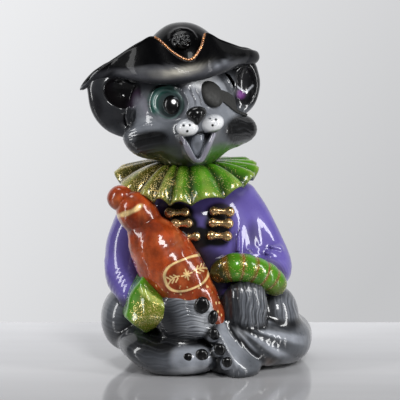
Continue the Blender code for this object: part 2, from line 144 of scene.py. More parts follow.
def ball(p, middle, radii, turn=None):
    q = p - np.asarray(middle, float)
    if turn is not None:
        q = q @ turned_axes(turn)
    radii = np.asarray(radii, float)
    k = np.sqrt(((q / radii) ** 2).sum(1))
    g = np.sqrt(((q / radii**2) ** 2).sum(1))
    return k * (k - 1) / np.maximum(g, 1e-9)


def smooth_path(points, spans=5):
    """Catmull-Rom line through points that may carry a radius as a fourth value."""
    pts = np.asarray(points, float)
    pts = np.vstack([2 * pts[0] - pts[1], pts, 2 * pts[-1] - pts[-2]])
    line = []
    for a, b, c, d in zip(pts, pts[1:], pts[2:], pts[3:]):
        for t in np.arange(spans) / spans:
            square, cube = 2 * a - 5 * b + 4 * c - d, 3 * b - a - 3 * c + d
            line.append(0.5 * (2 * b + (c - a) * t + square * t**2 + cube * t**3))
    line.append(pts[-2])
    return np.array(line)


def limb(p, points, swell=None, spans=5):
    """A smooth tapering tube. swell(length along it) adds to its radius."""
    stops = smooth_path(points, spans)
    best = np.full(len(p), 1e9)
    gone = 0.0
    for a, b in zip(stops, stops[1:]):
        span = b[:3] - a[:3]
        length = np.linalg.norm(span)
        t = np.clip(((p - a[:3]) @ span) / length**2, 0, 1)
        radius = a[3] + t * (b[3] - a[3])
        if swell is not None:
            radius = radius + swell(gone + t * length)
        away = np.linalg.norm(p - a[:3] - t[:, None] * span, axis=1) - radius
        best = np.minimum(best, away)
        gone += length
    return best


def flat_limb(p, line, flat):
    """A limb that is thinner front to back than it is tall."""
    return limb(p * [1, flat, 1], [(x, y * flat, z, r) for x, y, z, r in line])


def line_distance(q, start, end):
    """Distance from a straight line between two points in a plane."""
    start = np.array(start, float)
    along = np.array(end, float) - start
    t = np.clip((q - start) @ along / (along @ along), 0, 1)
    return np.linalg.norm(q - start - t[:, None] * along, axis=1)


def melt(a, b, k):
    """Smooth union."""
    h = np.clip(0.5 + 0.5 * (b - a) / k, 0, 1)
    return b * (1 - h) + a * h - k * h * (1 - h)


def carve(a, b, k):
    """a with b taken out, with a rounded edge."""
    return -melt(-a, b, k)


def meet(a, b, k):
    """Smooth intersection."""
    return -melt(-a, -b, k)


def all_melted(fields, k):
    whole = fields[0]
    for other in fields[1:]:
        whole = melt(whole, other, k)
    return whole


def lumps(p, middles, radii, k):
    """Equal balls melted into one another."""
    return all_melted([ball(p, middle, radii) for middle in middles], k)


def share(fields, own, k, skirt=SKIRT):
    """The part of a melted family that belongs to one member, sinking under its neighbours."""
    whole = all_melted(fields, k)
    others = np.minimum.reduce([f for i, f in enumerate(fields) if i != own])
    sink = np.clip((fields[own] - others) * 0.07, 0, 0.5)
    return np.maximum(whole + sink, fields[own] - skirt)


def plane(p, point, normal):
    normal = np.asarray(normal, float)
    return (p - np.asarray(point, float)) @ (normal / np.linalg.norm(normal))


def waves(p, size, seed, count=7):
    """Soft lumpy noise, about -1 to 1, with features of a given size in mm."""
    rng = np.random.default_rng(seed)
    total = np.zeros(len(p))
    for _ in range(count):
        direction = rng.normal(size=3)
        direction *= rng.uniform(0.7, 1.4) * 2 * math.pi / (2 * size) / np.linalg.norm(direction)
        total += np.sin(p @ direction + rng.uniform(0, 2 * math.pi))
    return total / math.sqrt(count) * 0.8


def soft(value, low, high):
    t = np.clip((value - low) / (high - low), 0, 1)
    return t * t * (3 - 2 * t)


def fade(value, low, high):
    return 1 - soft(value, low, high)


def hump(value, width):
    """1 where the value is 0, falling off like a bell."""
    return np.exp(-((value / width) ** 2))


def strokes(across, along, pitch, seed=0.0):
    """Fur lines pressed in the clay: about 1 on a ridge and -1 in a groove, uneven as if cut by hand."""
    a = across / pitch
    bend = 0.35 * np.sin(0.16 * along + seed) + 0.20 * np.sin(0.37 * along + 0.8 * a + 2.3 * seed)
    first = np.sin(2 * math.pi * (a + bend)) * (0.65 + 0.35 * np.sin(0.23 * along + 1.9 * a + seed))
    return 0.7 * (first + 0.5 * np.sin(2 * math.pi * (1.63 * a + 1.4 * bend + seed)))


def nearby(clay, node):
    """The same clay, worked out only close to the CAD node it belongs to."""
    low, high = reach(node, GAP)

    def field(p):
        out = np.full(len(p), FAR)
        here = ((p > low) & (p < high)).all(1)
        if here.any():
            out[here] = clay(p[here])
        return out

    return field


# ---- Skinning ----

BLOCK, GROUP = 3, 4  # cells along a block's side, and blocks along a group's side
CHUNK = 16384  # points worked out at a time
SAFETY = 1.4  # allowance for fields that change faster than distance does
POOL = ThreadPoolExecutor(4)


def evaluate(field, points):
    out = np.empty(len(points))

    def fill(start):
        out[start : start + CHUNK] = field(points[start : start + CHUNK])

    list(POOL.map(fill, range(0, len(points), CHUNK)))
    return out


def lattice(counts):
    return np.stack(np.meshgrid(*[np.arange(n) for n in counts], indexing="ij"), -1).reshape(-1, 3)


def near_surface(field, low, index, step, slack):
    values = evaluate(field, low + (index + 0.5) * step)
    return index[np.abs(values) < step * 0.87 * SAFETY + slack]


def active_samples(field, low, high, cell):
    """Small grid blocks near the surface, with the field on every grid point in them."""
    step = cell * BLOCK
    counts = np.ceil((high - low) / (step * GROUP)).astype(int)
    index = near_surface(field, low, lattice(counts), step * GROUP, cell)
    index = (index[:, None] * GROUP + lattice([GROUP] * 3)[None]).reshape(-1, 3)
    index = near_surface(field, low, index, step, 0.5 * cell)
    grid = index[:, None] * BLOCK + lattice([BLOCK + 1] * 3)[None]
    size = counts * GROUP * BLOCK + 2
    key = (grid[..., 0] * size[1] + grid[..., 1]) * size[2] + grid[..., 2]
    unique, inverse = np.unique(key.ravel(), return_inverse=True)
    points = np.stack([unique // (size[1] * size[2]), unique // size[2] % size[1], unique % size[2]], -1)
    values = evaluate(field, low + points * cell)
    return index * BLOCK, values[inverse].reshape(len(index), *[BLOCK + 1] * 3), size


CORNERS = np.array([(i, j, k) for i in (0, 1) for j in (0, 1) for k in (0, 1)])
EDGES = [(a, b) for a in range(8) for b in range(a + 1, 8) if np.abs(CORNERS[a] - CORNERS[b]).sum() == 1]


def crossing_cells(first, values):
    """Grid cells that the surface passes through, with their corner values."""
    at = [np.s_[:, i : i + BLOCK, j : j + BLOCK, k : k + BLOCK] for i, j, k in CORNERS]
    stacked = np.stack([values[corner] for corner in at], -1)
    inside = stacked < 0
    mixed = inside.any(-1) & ~inside.all(-1)
    block, i, j, k = np.nonzero(mixed)
    return first[block] + np.stack([i, j, k], -1), stacked[mixed]


def surface_net(first, values, size):
    cells, f = crossing_cells(first, values)
    total = np.zeros((len(cells), 3))
    count = np.zeros(len(cells))
    for a, b in EDGES:
        cross = (f[:, a] < 0) != (f[:, b] < 0)
        t = f[cross, a] / (f[cross, a] - f[cross, b])
        total[cross] += CORNERS[a] + t[:, None] * (CORNERS[b] - CORNERS[a])
        count[cross] += 1
    key = (cells[:, 0] * size[1] + cells[:, 1]) * size[2] + cells[:, 2]
    order = np.argsort(key)
    points = (cells + total / count[:, None])[order]
    return points, net_faces(f[order], key[order], size)


def net_faces(f, key, size):
    strides = np.array([size[1] * size[2], size[2], 1])
    faces = []
    for axis, corner in ((0, 4), (1, 2), (2, 1)):
        cross = (f[:, 0] < 0) != (f[:, corner] < 0)
        u, v = strides[(axis + 1) % 3], strides[(axis + 2) % 3]
        base = key[cross]
        around = (base, base - u, base - u - v, base - v)
        ring = [np.clip(np.searchsorted(key, k), 0, len(key) - 1) for k in around]
        good = np.ones(len(base), bool)
        for r, k in zip(ring, around):
            good &= key[r] == k
        quads = np.stack(ring, -1)[good]
        outward = f[cross, 0][good] < 0
        quads[~outward] = quads[~outward][:, ::-1]
        faces.append(quads)
    return np.vstack(faces)


def settle(field, points, cell):
    """Moves mesh points onto the true surface."""
    probe = 0.25 * cell
    value = evaluate(field, points)
    slope = np.empty_like(points)
    for axis in range(3):
        slope[:, axis] = (evaluate(field, points + probe * np.eye(3)[axis]) - value) / probe
    squared = np.maximum((slope**2).sum(1), 0.15)[:, None]
    points = points + stride(-value[:, None] * slope / squared, 0.6 * cell)
    value = evaluate(field, points)
    return points + stride(-value[:, None] * slope / squared, 0.3 * cell)


def stride(move, longest):
    length = np.linalg.norm(move, axis=1)
    return move * np.minimum(1, longest / np.maximum(length, 1e-9))[:, None]


def skin(field, low, high, cell):
    first, values, size = active_samples(field, low, high, cell)
    points, faces = surface_net(first, values, size)
    return settle(field, low + points * cell, cell), faces


# ---- Objects ----


def build_object(name, points, faces, paint, material):
    mesh = bpy.data.meshes.new(name)
    side = faces.shape[1]
    mesh.vertices.add(len(points))
    mesh.vertices.foreach_set("co", ((points + HOME) * MM).astype(np.float32).ravel())
    mesh.loops.add(faces.size)
    mesh.loops.foreach_set("vertex_index", faces.astype(np.int32).ravel())
    mesh.polygons.add(len(faces))
    mesh.polygons.foreach_set("loop_start", np.arange(0, faces.size, side, dtype=np.int32))
    mesh.polygons.foreach_set("use_smooth", np.ones(len(faces), bool))
    mesh.update(calc_edges=True)
    mesh.validate()
    colours = mesh.color_attributes.new("paint", "FLOAT_COLOR", "POINT")
    colours.data.foreach_set("color", paint(points).astype(np.float32).ravel())
    obj = bpy.data.objects.new(name, mesh)
    bpy.context.scene.collection.objects.link(obj)
    obj.data.materials.append(material)
    return obj


def place(obj, node, body="figurine"):
    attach(obj, body)
    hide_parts(node)


def sculpt(name, field, paint, material, cell=CELL, margin=9.0, low_z=None):
    """Skins, paints and places one piece that stands for the CAD node of its own name."""
    low, high = reach(name, margin)
    if low_z is not None:
        low[2] = low_z
    points, faces = skin(field, low, high, cell)
    place(build_object(name + "_glazed", points, faces, paint, material), name)


# ---- Colours, as red, green and blue display values from 0 to 255 ----

PALE_GREY = (150, 154, 162)
MID_GREY = (98, 101, 107)
DARK_GREY = (48, 50, 54)
BLACK = (8, 8, 9)
WHITE = (226, 227, 229)
SILVER = (196, 199, 204)
TEAL = (28, 72, 64)
LILAC = (124, 122, 134)
PURPLE = (96, 84, 158)
PURPLE_DEEP = (66, 54, 112)
GREEN = (72, 130, 18)
GREEN_DEEP = (34, 70, 14)
OLIVE = (86, 84, 30)
YELLOW_GREEN = (176, 190, 92)
ORANGE = (164, 68, 26)
RUSSET = (98, 34, 16)
AMBER = (196, 110, 62)
CREAM = (232, 200, 140)

SPRAY_STRENGTH = 1.12  # on every spray's amount, for contrast as strong as the real one's


def linear(tone):
    value = np.array(tone) / 255
    return np.where(value <= 0.04045, value / 12.92, ((value + 0.055) / 1.055) ** 2.4)


def coat(points, tone):
    """Paint table: red, green, blue and a glitter share for each point."""
    out = np.zeros((len(points), 4))
    out[:, :3] = linear(tone)
    return out


def plain(tone):
    return lambda p: coat(p, tone)


def spray(paint, amount, tone):
    amount = np.clip(np.asarray(amount) * SPRAY_STRENGTH, 0, 1)[:, None]
    paint[:, :3] = paint[:, :3] * (1 - amount) + linear(tone) * amount


def near(points, spot, radius, softness=0.8):
    """1 at a spot, fading to a half at a radius and to 0 beyond it."""
    away = np.linalg.norm((points - np.asarray(spot, float)) / np.asarray(radius, float), axis=1)
    return fade(away, 1 - 0.55 * softness, 1 + 0.55 * softness)


def dabs(paint, points, *marks):
    """Round puffs of paint, in order: amount, spot, radius, tone and perhaps softness."""
    for amount, spot, radius, tone, *softness in marks:
        spray(paint, amount * near(points, spot, radius, *softness), tone)


# ---- Materials ----


class Nodes:
    """Small helper for writing a material's node tree."""

    def __init__(self, name):
        self.material = bpy.data.materials.new(name)
        self.material.use_nodes = True
        self.tree = self.material.node_tree
        self.shader = self.tree.nodes["Principled BSDF"]

    def add(self, kind, **inputs):
        node = self.tree.nodes.new(kind)
        for key, value in inputs.items():
            self.set(node, key, value)
        return node

    def set(self, node, key, value):
        socket = node.inputs[key.replace("_", " ") if isinstance(key, str) else key]
        if isinstance(value, bpy.types.NodeSocket):
            self.tree.links.new(value, socket)
        else:
            socket.default_value = value

    def position(self, stretch=(1, 1, 1)):
        place_of_point = self.add("ShaderNodeNewGeometry").outputs["Position"]
        return self.operate("ShaderNodeVectorMath", "MULTIPLY", {0: place_of_point, 1: stretch})

    def noise(self, scale, detail=3.0, stretch=(1, 1, 1)):
        node = self.add("ShaderNodeTexNoise", Scale=scale, Detail=detail)
        self.set(node, "Vector", self.position(stretch))
        return node.outputs["Fac"]

    def ramp(self, value, low, high, start=0.0, end=1.0):
        node = self.add("ShaderNodeMapRange")
        for index, number in ((1, low), (2, high), (3, start), (4, end)):
            node.inputs[index].default_value = number
        self.set(node, 0, value)
        return node.outputs[0]

    def cloud(self, scale, low, high, detail=3.0, stretch=(1, 1, 1)):
        """Noise spread between two values."""
        return self.ramp(self.noise(scale, detail, stretch), 0.3, 0.7, low, high)

    def operate(self, kind, operation, values):
        node = self.add(kind)
        node.operation = operation
        for index, value in values.items():
            self.set(node, index, value)
        return node.outputs[0]

    def maths(self, operation, a, b):
        return self.operate("ShaderNodeMath", operation, {0: a, 1: b})

    def scaled(self, vector, factor):
        return self.operate("ShaderNodeVectorMath", "SCALE", {0: vector, 3: factor})

    def mix(self, share_of_b, a, b):
        node = self.add("ShaderNodeMix")
        node.data_type = "RGBA"
        for index, value in ((0, share_of_b), (6, a), (7, b)):
            self.set(node, index, value)
        return node.outputs[2]

    def bump(self, scale, distance, strength, detail=3.0):
        node = self.add("ShaderNodeBump", Strength=strength, Distance=distance)
        self.set(node, "Height", self.noise(scale, detail))
        return node.outputs[0]

    def shade(self, **inputs):
        """Sets inputs of the shader by name."""
        for key, value in inputs.items():
            self.set(self.shader, key, value)


def painted_glaze(
    name,
    mottle=0.12,
    mottle_size=90,
    stroke=0.0,
    stretch=(1, 1, 1),
    ripple=0.00015,
    rough=0.32,
    coat_ior=1.42,
    haze=(0.015, 0.05),
    base_gloss=0.15,
):
    """Airbrushed underglaze below a clear, glassy coat that pools in slow ripples."""
    n = Nodes(name)
    paint = n.add("ShaderNodeAttribute")
    paint.attribute_name = "paint"
    value = n.maths(
        "MULTIPLY",
        n.cloud(mottle_size, 1 - mottle, 1 + mottle),
        n.cloud(1400, 1 - mottle * 0.35, 1 + mottle * 0.35, 2.0),
    )
    if stroke:
        value = n.maths("MULTIPLY", value, n.cloud(260, 1 - stroke, 1 + stroke, 4.0, stretch))
    shade = n.scaled(paint.outputs["Color"], value)
    n.shade(
        Base_Color=shade,
        Roughness=n.cloud(200, rough - 0.06, rough + 0.08),
        Specular_IOR_Level=base_gloss,
        Coat_Weight=1.0,
        Coat_IOR=coat_ior,
        Coat_Roughness=n.cloud(60, *haze),
        Coat_Normal=n.bump(70, ripple * 4, 0.5, 2.0),
        Normal=n.bump(500, ripple, 0.4),
    )
    return n, paint, shade


def glittered_glaze(name):
    """Green glaze with gold glitter where the paint's alpha is high."""
    n, paint, shade = painted_glaze(name, mottle=0.22, mottle_size=130, ripple=0.0002)
    flakes = n.add("ShaderNodeTexVoronoi", Scale=1300.0)
    n.set(flakes, "Vector", n.position())
    tone = n.add("ShaderNodeSeparateColor")
    n.set(tone, "Color", flakes.outputs["Color"])
    clump = n.ramp(n.noise(170, 3.0), 0.35, 0.65, 0.25, 1.3)
    chance = n.maths("MULTIPLY", paint.outputs["Alpha"], clump)
    here = n.maths("LESS_THAN", tone.outputs[0], chance)
    core = n.maths("LESS_THAN", flakes.outputs["Distance"], 0.42)
    flake = n.maths("MULTIPLY", here, core)
    gold = n.mix(tone.outputs[1], (0.85, 0.55, 0.14, 1), (1.0, 0.86, 0.42, 1))
    n.shade(Base_Color=n.mix(flake, shade, gold), Metallic=n.maths("MULTIPLY", flake, 0.85))
    return n.material


def glass_over_glaze(name):
    """Lumpy orange-brown bottle glaze with darker pools."""
    n, _, shade = painted_glaze(name, mottle=0.30, mottle_size=120, ripple=0.0004, rough=0.28)
    streaks = n.ramp(n.noise(210, 4.0, (1.0, 1.0, 0.35)), 0.35, 0.7, 0.75, 1.2)
    n.shade(Base_Color=n.scaled(shade, streaks))
    return n.material


def gold_paint(name, dark, bright):
    """Bright gold, brushed on thin enough for the black below to show in places."""
    n = Nodes(name)
    worn = n.ramp(n.noise(420, 4.0), 0.35, 0.6)
    n.shade(
        Base_Color=n.mix(worn, dark, bright),
        Metallic=n.ramp(worn, 0, 1, 0.55, 1.0),
        Roughness=n.cloud(600, 0.16, 0.38),
        Coat_Weight=0.8,
        Coat_Roughness=0.04,
        Normal=n.bump(700, 0.0002, 0.5),
    )
    return n.material


def matt_finish(name, mottle_size, dark, bright, dullness, grain, strength):
    """A dull surface, mottled between two tones: the eye patch's paint and the bung's rubber."""
    n = Nodes(name)
    n.shade(
        Base_Color=n.mix(n.noise(mottle_size, 4.0), dark, bright),
        Roughness=n.cloud(*dullness),
        Normal=n.bump(grain, 0.0001, strength),
    )
    return n.material


def glaze(name, **settings):
    return painted_glaze(name, **settings)[0].material


HAT_SHEEN = {"coat_ior": 1.14, "haze": (0.05, 0.12), "base_gloss": 0.03}
GREY_GLAZE = glaze("grey_glaze_painted", mottle=0.10, stroke=0.10, stretch=(0.25, 1, 1))
HEAD_GLAZE = glaze("grey_glaze_face", mottle=0.10, stroke=0.06, stretch=(0.3, 1, 1))
HAT_GLAZE = glaze("hat_glaze_painted", mottle=0.16, ripple=0.0002, **HAT_SHEEN)
BLACK_GLAZE = glaze("black_glaze_painted", mottle=0.25, ripple=0.0001, coat_ior=1.33)
WHITE_GLAZE = glaze("white_glaze_painted", mottle=0.05)
PURPLE_GLAZE = glaze("purple_glaze_painted", mottle=0.07, mottle_size=60)
GREEN_GLAZE = glittered_glaze("green_glaze_glitter")
BOTTLE_GLAZE = glass_over_glaze("bottle_glaze_painted")
GOLD = gold_paint("gold_lustre_painted", (0.22, 0.10, 0.030, 1), (0.84, 0.58, 0.27, 1))
COPPER = gold_paint("gold_lustre_copper", (0.20, 0.07, 0.025, 1), (0.50, 0.23, 0.09, 1))
PATCH_TONES = ((0.007, 0.007, 0.006, 1), (0.018, 0.018, 0.016, 1))
RUBBER_TONES = ((0.018, 0.018, 0.019, 1), (0.05, 0.05, 0.052, 1))
PATCH_PAINT = matt_finish("black_glaze_matt", 240, *PATCH_TONES, (500, 0.5, 0.72), 900, 0.5)
RUBBER = matt_finish("rubber_moulded", 300, *RUBBER_TONES, (700, 0.55, 0.8), 1500, 0.6)


# ---- Lower body: seat, legs, hands and tail, one melted grey form ----

SEAT_PROFILE = ((0, 56), (3, 60), (8, 65), (20, 73.5), (36, 77), (50, 72), (58, 66), (66, 60))
SEAT_CUT = 63
BODY_DEPTH_SHARE = 0.78
JACKET_LEAN = -0.09
LEAN_START = 58.0
FUR_DEPTH = 0.17


def turned_profile(p, profile, lean=0.0):
    """Distance from a turned form that is squashed front to back and leans sideways."""
    z = np.clip(p[:, 2], profile[0][0], profile[-1][0])
    fine = smooth_path([(h, r, 0) for h, r in profile], 6)
    radius = np.interp(z, fine[:, 0], fine[:, 1])
    x = p[:, 0] - lean * np.maximum(p[:, 2] - LEAN_START, 0)
    y = p[:, 1] - BODY_Y
    out = np.sqrt(x**2 + (y / BODY_DEPTH_SHARE) ** 2)
    slope = np.sqrt(x**2 + (y / BODY_DEPTH_SHARE**2) ** 2) / np.maximum(out, 1e-6)
    return (out - radius) / np.maximum(slope, 0.6)


def seat_clay(p):
    return meet(turned_profile(p, SEAT_PROFILE), p[:, 2] - SEAT_CUT, 4)


def right_knee_clay(p):
    return ball(p, centre("right_knee", 4.5, 3.5, 1), (21, 28, 27))


def left_knee_clay(p):
    return ball(p, centre("left_knee", -9.0, 3, 0), (19.5, 25, 26))


def right_hand_fur(p):
    x, _, z = p.T
    return strokes(z + 0.0035 * (x + 12) ** 2, x, 2.7, 0.4)


def right_hand_clay(p):
    mound = ball(p, centre("right_hand", -3.5, 1.5, 0), (24.5, 15.5, 21))
    knuckles = lumps(p, ((-3.0, -65, 56.5), (-0.5, -64, 47.5), (-4.0, -64, 37.5)), (8.0, 10, 6.4), 5)
    return melt(mound, knuckles, 6) - FUR_DEPTH * right_hand_fur(p) * soft(-p[:, 1], 50, 66)


def left_hand_fur(p):
    x, _, z = p.T
    return strokes(x + 0.05 * z, z, 2.9, 1.3)


def left_hand_clay(p):
    x, y, z = p.T
    mound = ball(p, centre("left_hand", -6.5, 2, -3), (19.0, 13.5, 25), (0, 4, 0))
    flutes = np.sin(2 * math.pi * (x + 0.08 * z) / 6.2)
    return mound - (FUR_DEPTH * left_hand_fur(p) + 0.45 * flutes) * soft(-y, 38, 56)


WEDGE_TOP, WEDGE_TOE = np.array([8.5, -70.5, 38.8]), np.array([23.0, -79.0, 9.0])
WEDGE_RIGHT_NORMAL, WEDGE_LEFT_NORMAL = (0.578, -0.594, 0.56), (-0.78, -0.60, -0.20)
LEFT_TOES = ((5.5, -69.0, 32.5), (10.0, -72.0, 21.5), (16.5, -74.5, 11.5))
RIGHT_TOES = ((-13.5, -71, 13.5), (-2.5, -70.5, 15.5))


def left_foot_clay(p):
    """The left sole: a wedge whose ridge runs down to the table, with the toe pads on its left."""
    ridge = meet(plane(p, WEDGE_TOP, WEDGE_RIGHT_NORMAL), plane(p, WEDGE_TOP, WEDGE_LEFT_NORMAL), 1.5)
    wedge = meet(ridge, ball(p, (20, -54.5, 15), (26, 25.5, 31)), 4)
    return melt(wedge, lumps(p, LEFT_TOES, (4.8, 4.6, 5.0), 3), 3)


def right_foot_clay(p):
    sole = ball(p, centre("right_foot", 0.5, 2, -1), (38, 20.5, 17), (0, 3, 0))
    heel = ball(p, (-47, -36, 20), (23, 24, 17))
    undercut = plane(p, (-56, -50, 2), (-0.66, -0.26, -0.70))
    return melt(meet(melt(sole, heel, 10), undercut, 9), lumps(p, RIGHT_TOES, (8.4, 8, 8.2), 4), 5)


TAIL_TIP = np.array([22.0, -60.0, 38.5])
TAIL_LINE = (
    (30, 40, 26, 10),
    (56, 38, 22, 15.5),
    (69.5, 18, 19, 18),
    (69.5, -6, 19, 18.5),
    (64, -24, 20, 19.5),
    (46, -43, 22, 17.5),
    (30, -54, 31, 10),
    (23, -59, 37, 3.5),
)


def tail_fan(p):
    """Angle around the tail's tip, as fan lines, and how far out a point is."""
    x, _, z = p.T
    out = np.hypot(x - TAIL_TIP[0], z - TAIL_TIP[2])
    angle = np.arctan2(z - TAIL_TIP[2] - 1.5, x - TAIL_TIP[0])
    return np.sin(angle * 21 + 0.035 * out + 0.6 * np.sin(angle * 5)), out


def tail_clay(p):
    f = limb(p, TAIL_LINE)
    line, out = tail_fan(p)
    ahead = soft(-p[:, 1], 8, 30)
    return f - 0.5 * line * soft(out, 3, 16) * fade(out, 44, 66) * ahead


LOWER_LIMBS = {
    "right_knee": right_knee_clay,
    "left_knee": left_knee_clay,
    "right_hand": right_hand_clay,
    "left_hand": left_hand_clay,
    "left_foot": left_foot_clay,
    "right_foot": right_foot_clay,
    "tail": tail_clay,
}
LOWER = {"seat_shell": seat_clay, **{node: nearby(clay, node) for node, clay in LOWER_LIMBS.items()}}
LOWER_MELT = 5.5
BUNG_HOLE, BUNG_RECESS = 14.7, 23.0  # radii
HOLE_DEPTH, RECESS_DEPTH = 14, 4.0
BUNG_MIDDLE = centre("bung")[:2]
SEAT_HOLLOW = ((0, 3, 36), (66, 50, 30))
JACKET_HOLLOW = ((-3, 3, 88), (50, 38, 52))


def hollow_clay(p):
    """Room for the coins, inside seat and jacket."""
    return melt(ball(p, *SEAT_HOLLOW), ball(p, *JACKET_HOLLOW), 14)


def floor_opening(p):
    x, y, z = p.T
    away = np.hypot(x - BUNG_MIDDLE[0], y - BUNG_MIDDLE[1])
    recess = np.maximum(away - BUNG_RECESS, z - RECESS_DEPTH)
    return np.minimum(recess, np.maximum(away - BUNG_HOLE, z - HOLE_DEPTH))


def lower_member(name):
    own = list(LOWER).index(name)

    def field(p):
        f = share([clay(p) for clay in LOWER.values()], own, LOWER_MELT)
        f = meet(f, FLOOR_LIFT - p[:, 2], 1.2)
        if name == "seat_shell":
            f = np.maximum(f, -hollow_clay(p))
            f = carve(f, floor_opening(p), ROUND_EDGE)
        return f

    return field


def lower_paint(p):
    """Grey airbrush over the whole lower body, with each limb's own brushwork melting into the next, and
    painted shade in the creases where limbs meet.
    """
    values = np.stack([clay(p) for clay in LOWER.values()])
    ranked = np.sort(values, axis=0)
    paint = coat(p, (86, 89, 95))
    spray(paint, 0.35 + 0.35 * waves(p, 16, 4), (68, 71, 76))
    haunch_paint(paint, p)
    for index, name in enumerate(LOWER):
        if name in LIMB_PAINT:
            others = np.where(ranked[0] == values[index], ranked[1], ranked[0])
            zone = soft(others - values[index], -1.5, 2.0)
            touched = paint.copy()
            LIMB_PAINT[name](touched, p)
            paint += zone[:, None] * (touched - paint)
    # painted shade in the creases where the limbs meet
    spray(paint, 0.9 * fade(ranked[1] - ranked[0], 0.3, 5.5), (22, 23, 26))
    spray(paint, 0.75 * soft(-p[:, 2], -6, 0), (30, 31, 33))
    return paint


def haunch_paint(paint, p):
    x, y, z = p.T
    dabs(paint, p,
        (0.85, (-58, -42, 20), (34, 36, 22), (38, 40, 43)),
        (0.9, (-26, -64, 28), (34, 24, 11), BLACK),
        # painted highlight down the outer side of the haunch
        (0.6, (-79, -2, 62), (18, 34, 9), (90, 93, 99)),
    )
    line = strokes(z + 0.25 * x, x + y, 4.0, 0.9)
    spray(paint, 0.16 * (0.5 + 0.5 * line) * near(p, (-76, -4, 44), (30, 44, 28)), PALE_GREY)
    dabs(paint, p,
        (0.6, (-48, -42, 3), (26, 26, 7), (56, 44, 36)),
        (0.8, (0, 60, 30), (90, 40, 34), (60, 63, 68), 0.9),
    )


def right_hand_paint(paint, p):
    line = right_hand_fur(p)
    toward_claws = soft(p[:, 0], -28, 4)
    spray(paint, (0.30 + 0.55 * toward_claws) * soft(line, -0.7, 0.9), (150, 154, 161))
    dabs(paint, p,
        (0.75, (4, -76, 54), (12, 16, 17), SILVER),
        (0.6, (-14, -70, 68), (18, 14, 5.5), SILVER),
    )
    spray(paint, 0.65 * soft(-line, 0.1, 0.9) * near(p, (-18, -76, 46), (24, 14, 22)), DARK_GREY)
    # painted shade on the hand's outer side and underneath
    spray(paint, 0.9 * near(p, (-34, -70, 42), (15, 18, 22)), (34, 35, 38))
    spray(paint, 0.8 * soft(-p[:, 2], -35, -28), (26, 27, 29))


def left_hand_paint(paint, p):
    line = left_hand_fur(p)
    spray(paint, 0.6 * soft(line, -0.4, 0.9), (126, 130, 137))
    spray(paint, 0.6 * soft(-line, -0.1, 0.8), (42, 44, 47))
    dabs(paint, p,
        (0.85, (19, -58, 56), (9, 20, 34), DARK_GREY),
        # painted shade in the crease between the left hand and the left knee
        (0.6, (52, -48, 46), (5.0, 20, 24), BLACK),
        (0.7, (36, -56, 78), (24, 18, 9), (26, 27, 28)),
    )


def left_knee_paint(paint, p):
    x, _, z = p.T
    line = strokes(x + 0.15 * z, z, 3.2, 0.2)
    spray(paint, 0.4 * soft(line, -0.3, 0.9), PALE_GREY)
    spray(paint, 0.4 * soft(-line, -0.1, 0.9), DARK_GREY)
    dabs(paint, p,
        # painted shade in the crease between the left knee and the left hand
        (0.6, (51, -38, 44), (5.5, 20, 22), BLACK),
        (0.6, (62, -30, 64), (20, 20, 7), DARK_GREY),
    )


def left_foot_paint(paint, p):
    right_face = soft(plane(p, WEDGE_TOP, WEDGE_RIGHT_NORMAL), -3.5, -0.5)
    side = soft(p[:, 0] - (WEDGE_TOP[0] + (WEDGE_TOP[2] - p[:, 2]) * 0.5), 0.5, 4)
    spray(paint, 0.85 * right_face * side, (128, 132, 139))
    spray(paint, 0.7 * side * near(p, (40, -60, 8), (18, 20, 12)), (70, 73, 78))
    ridge = limb(p, [(*stop, 0.8) for stop in (WEDGE_TOP, (WEDGE_TOP + WEDGE_TOE) / 2, WEDGE_TOE)])
    spray(paint, 0.9 * fade(ridge, 0.2, 2.4), WHITE)
    spray(paint, 0.8 * (1 - side) * fade(ridge, 0.5, 5), (60, 62, 67))
    for toe in ((8, -74, 34), (12, -77, 24), (18, -79, 13)):
        spray(paint, 0.5 * near(p, toe, (8, 10, 8), 0.7), PALE_GREY)


def right_foot_paint(paint, p):
    x, _, z = p.T
    line = strokes(z + 0.15 * x, x, 3.6, 2.1)
    spray(paint, 0.06 * soft(line, 0, 0.9), PALE_GREY)
    spray(paint, 0.16 * soft(-line, 0, 0.9), (40, 42, 45))
    for toe in ((-15, -78, 16), (-3, -78, 18)):
        spray(paint, 0.65 * near(p, toe, (12, 12, 11), 0.6), PALE_GREY)
    spray(paint, 0.5 * near(p, (-8, -76, 4), (18, 10, 6)), SILVER)


def tail_paint(paint, p):
    line, out = tail_fan(p)
    ahead = soft(-p[:, 1], 8, 30)
    spray(paint, 0.5 * ahead * fade(out, 50, 70), (88, 91, 96))
    spray(paint, 0.75 * soft(line, -0.2, 0.9) * ahead * soft(out, 0, 10) * fade(out, 50, 68), PALE_GREY)
    spray(paint, 0.7 * soft(-line, -0.1, 0.9) * ahead * soft(out, 2, 12) * fade(out, 44, 62), DARK_GREY)
    dabs(paint, p,
        (0.5, TAIL_TIP, 12, SILVER),
        (0.6, (60, -40, 6), (34, 30, 8), DARK_GREY),
        (0.55, (38, -62, 6), (20, 20, 7), (104, 82, 66)),
    )


LIMB_PAINT = {
    "right_hand": right_hand_paint,
    "left_hand": left_hand_paint,
    "left_knee": left_knee_paint,
    "left_foot": left_foot_paint,
    "right_foot": right_foot_paint,
    "tail": tail_paint,
}


def build_lower_body():
    for name in LOWER:
        cell = FINE if name in ("right_hand", "left_hand", "left_foot") else CELL
        sculpt(name, lower_member(name), lower_paint, GREY_GLAZE, cell, low_z=GRID_FLOOR)


# ---- Jacket and sleeves ----

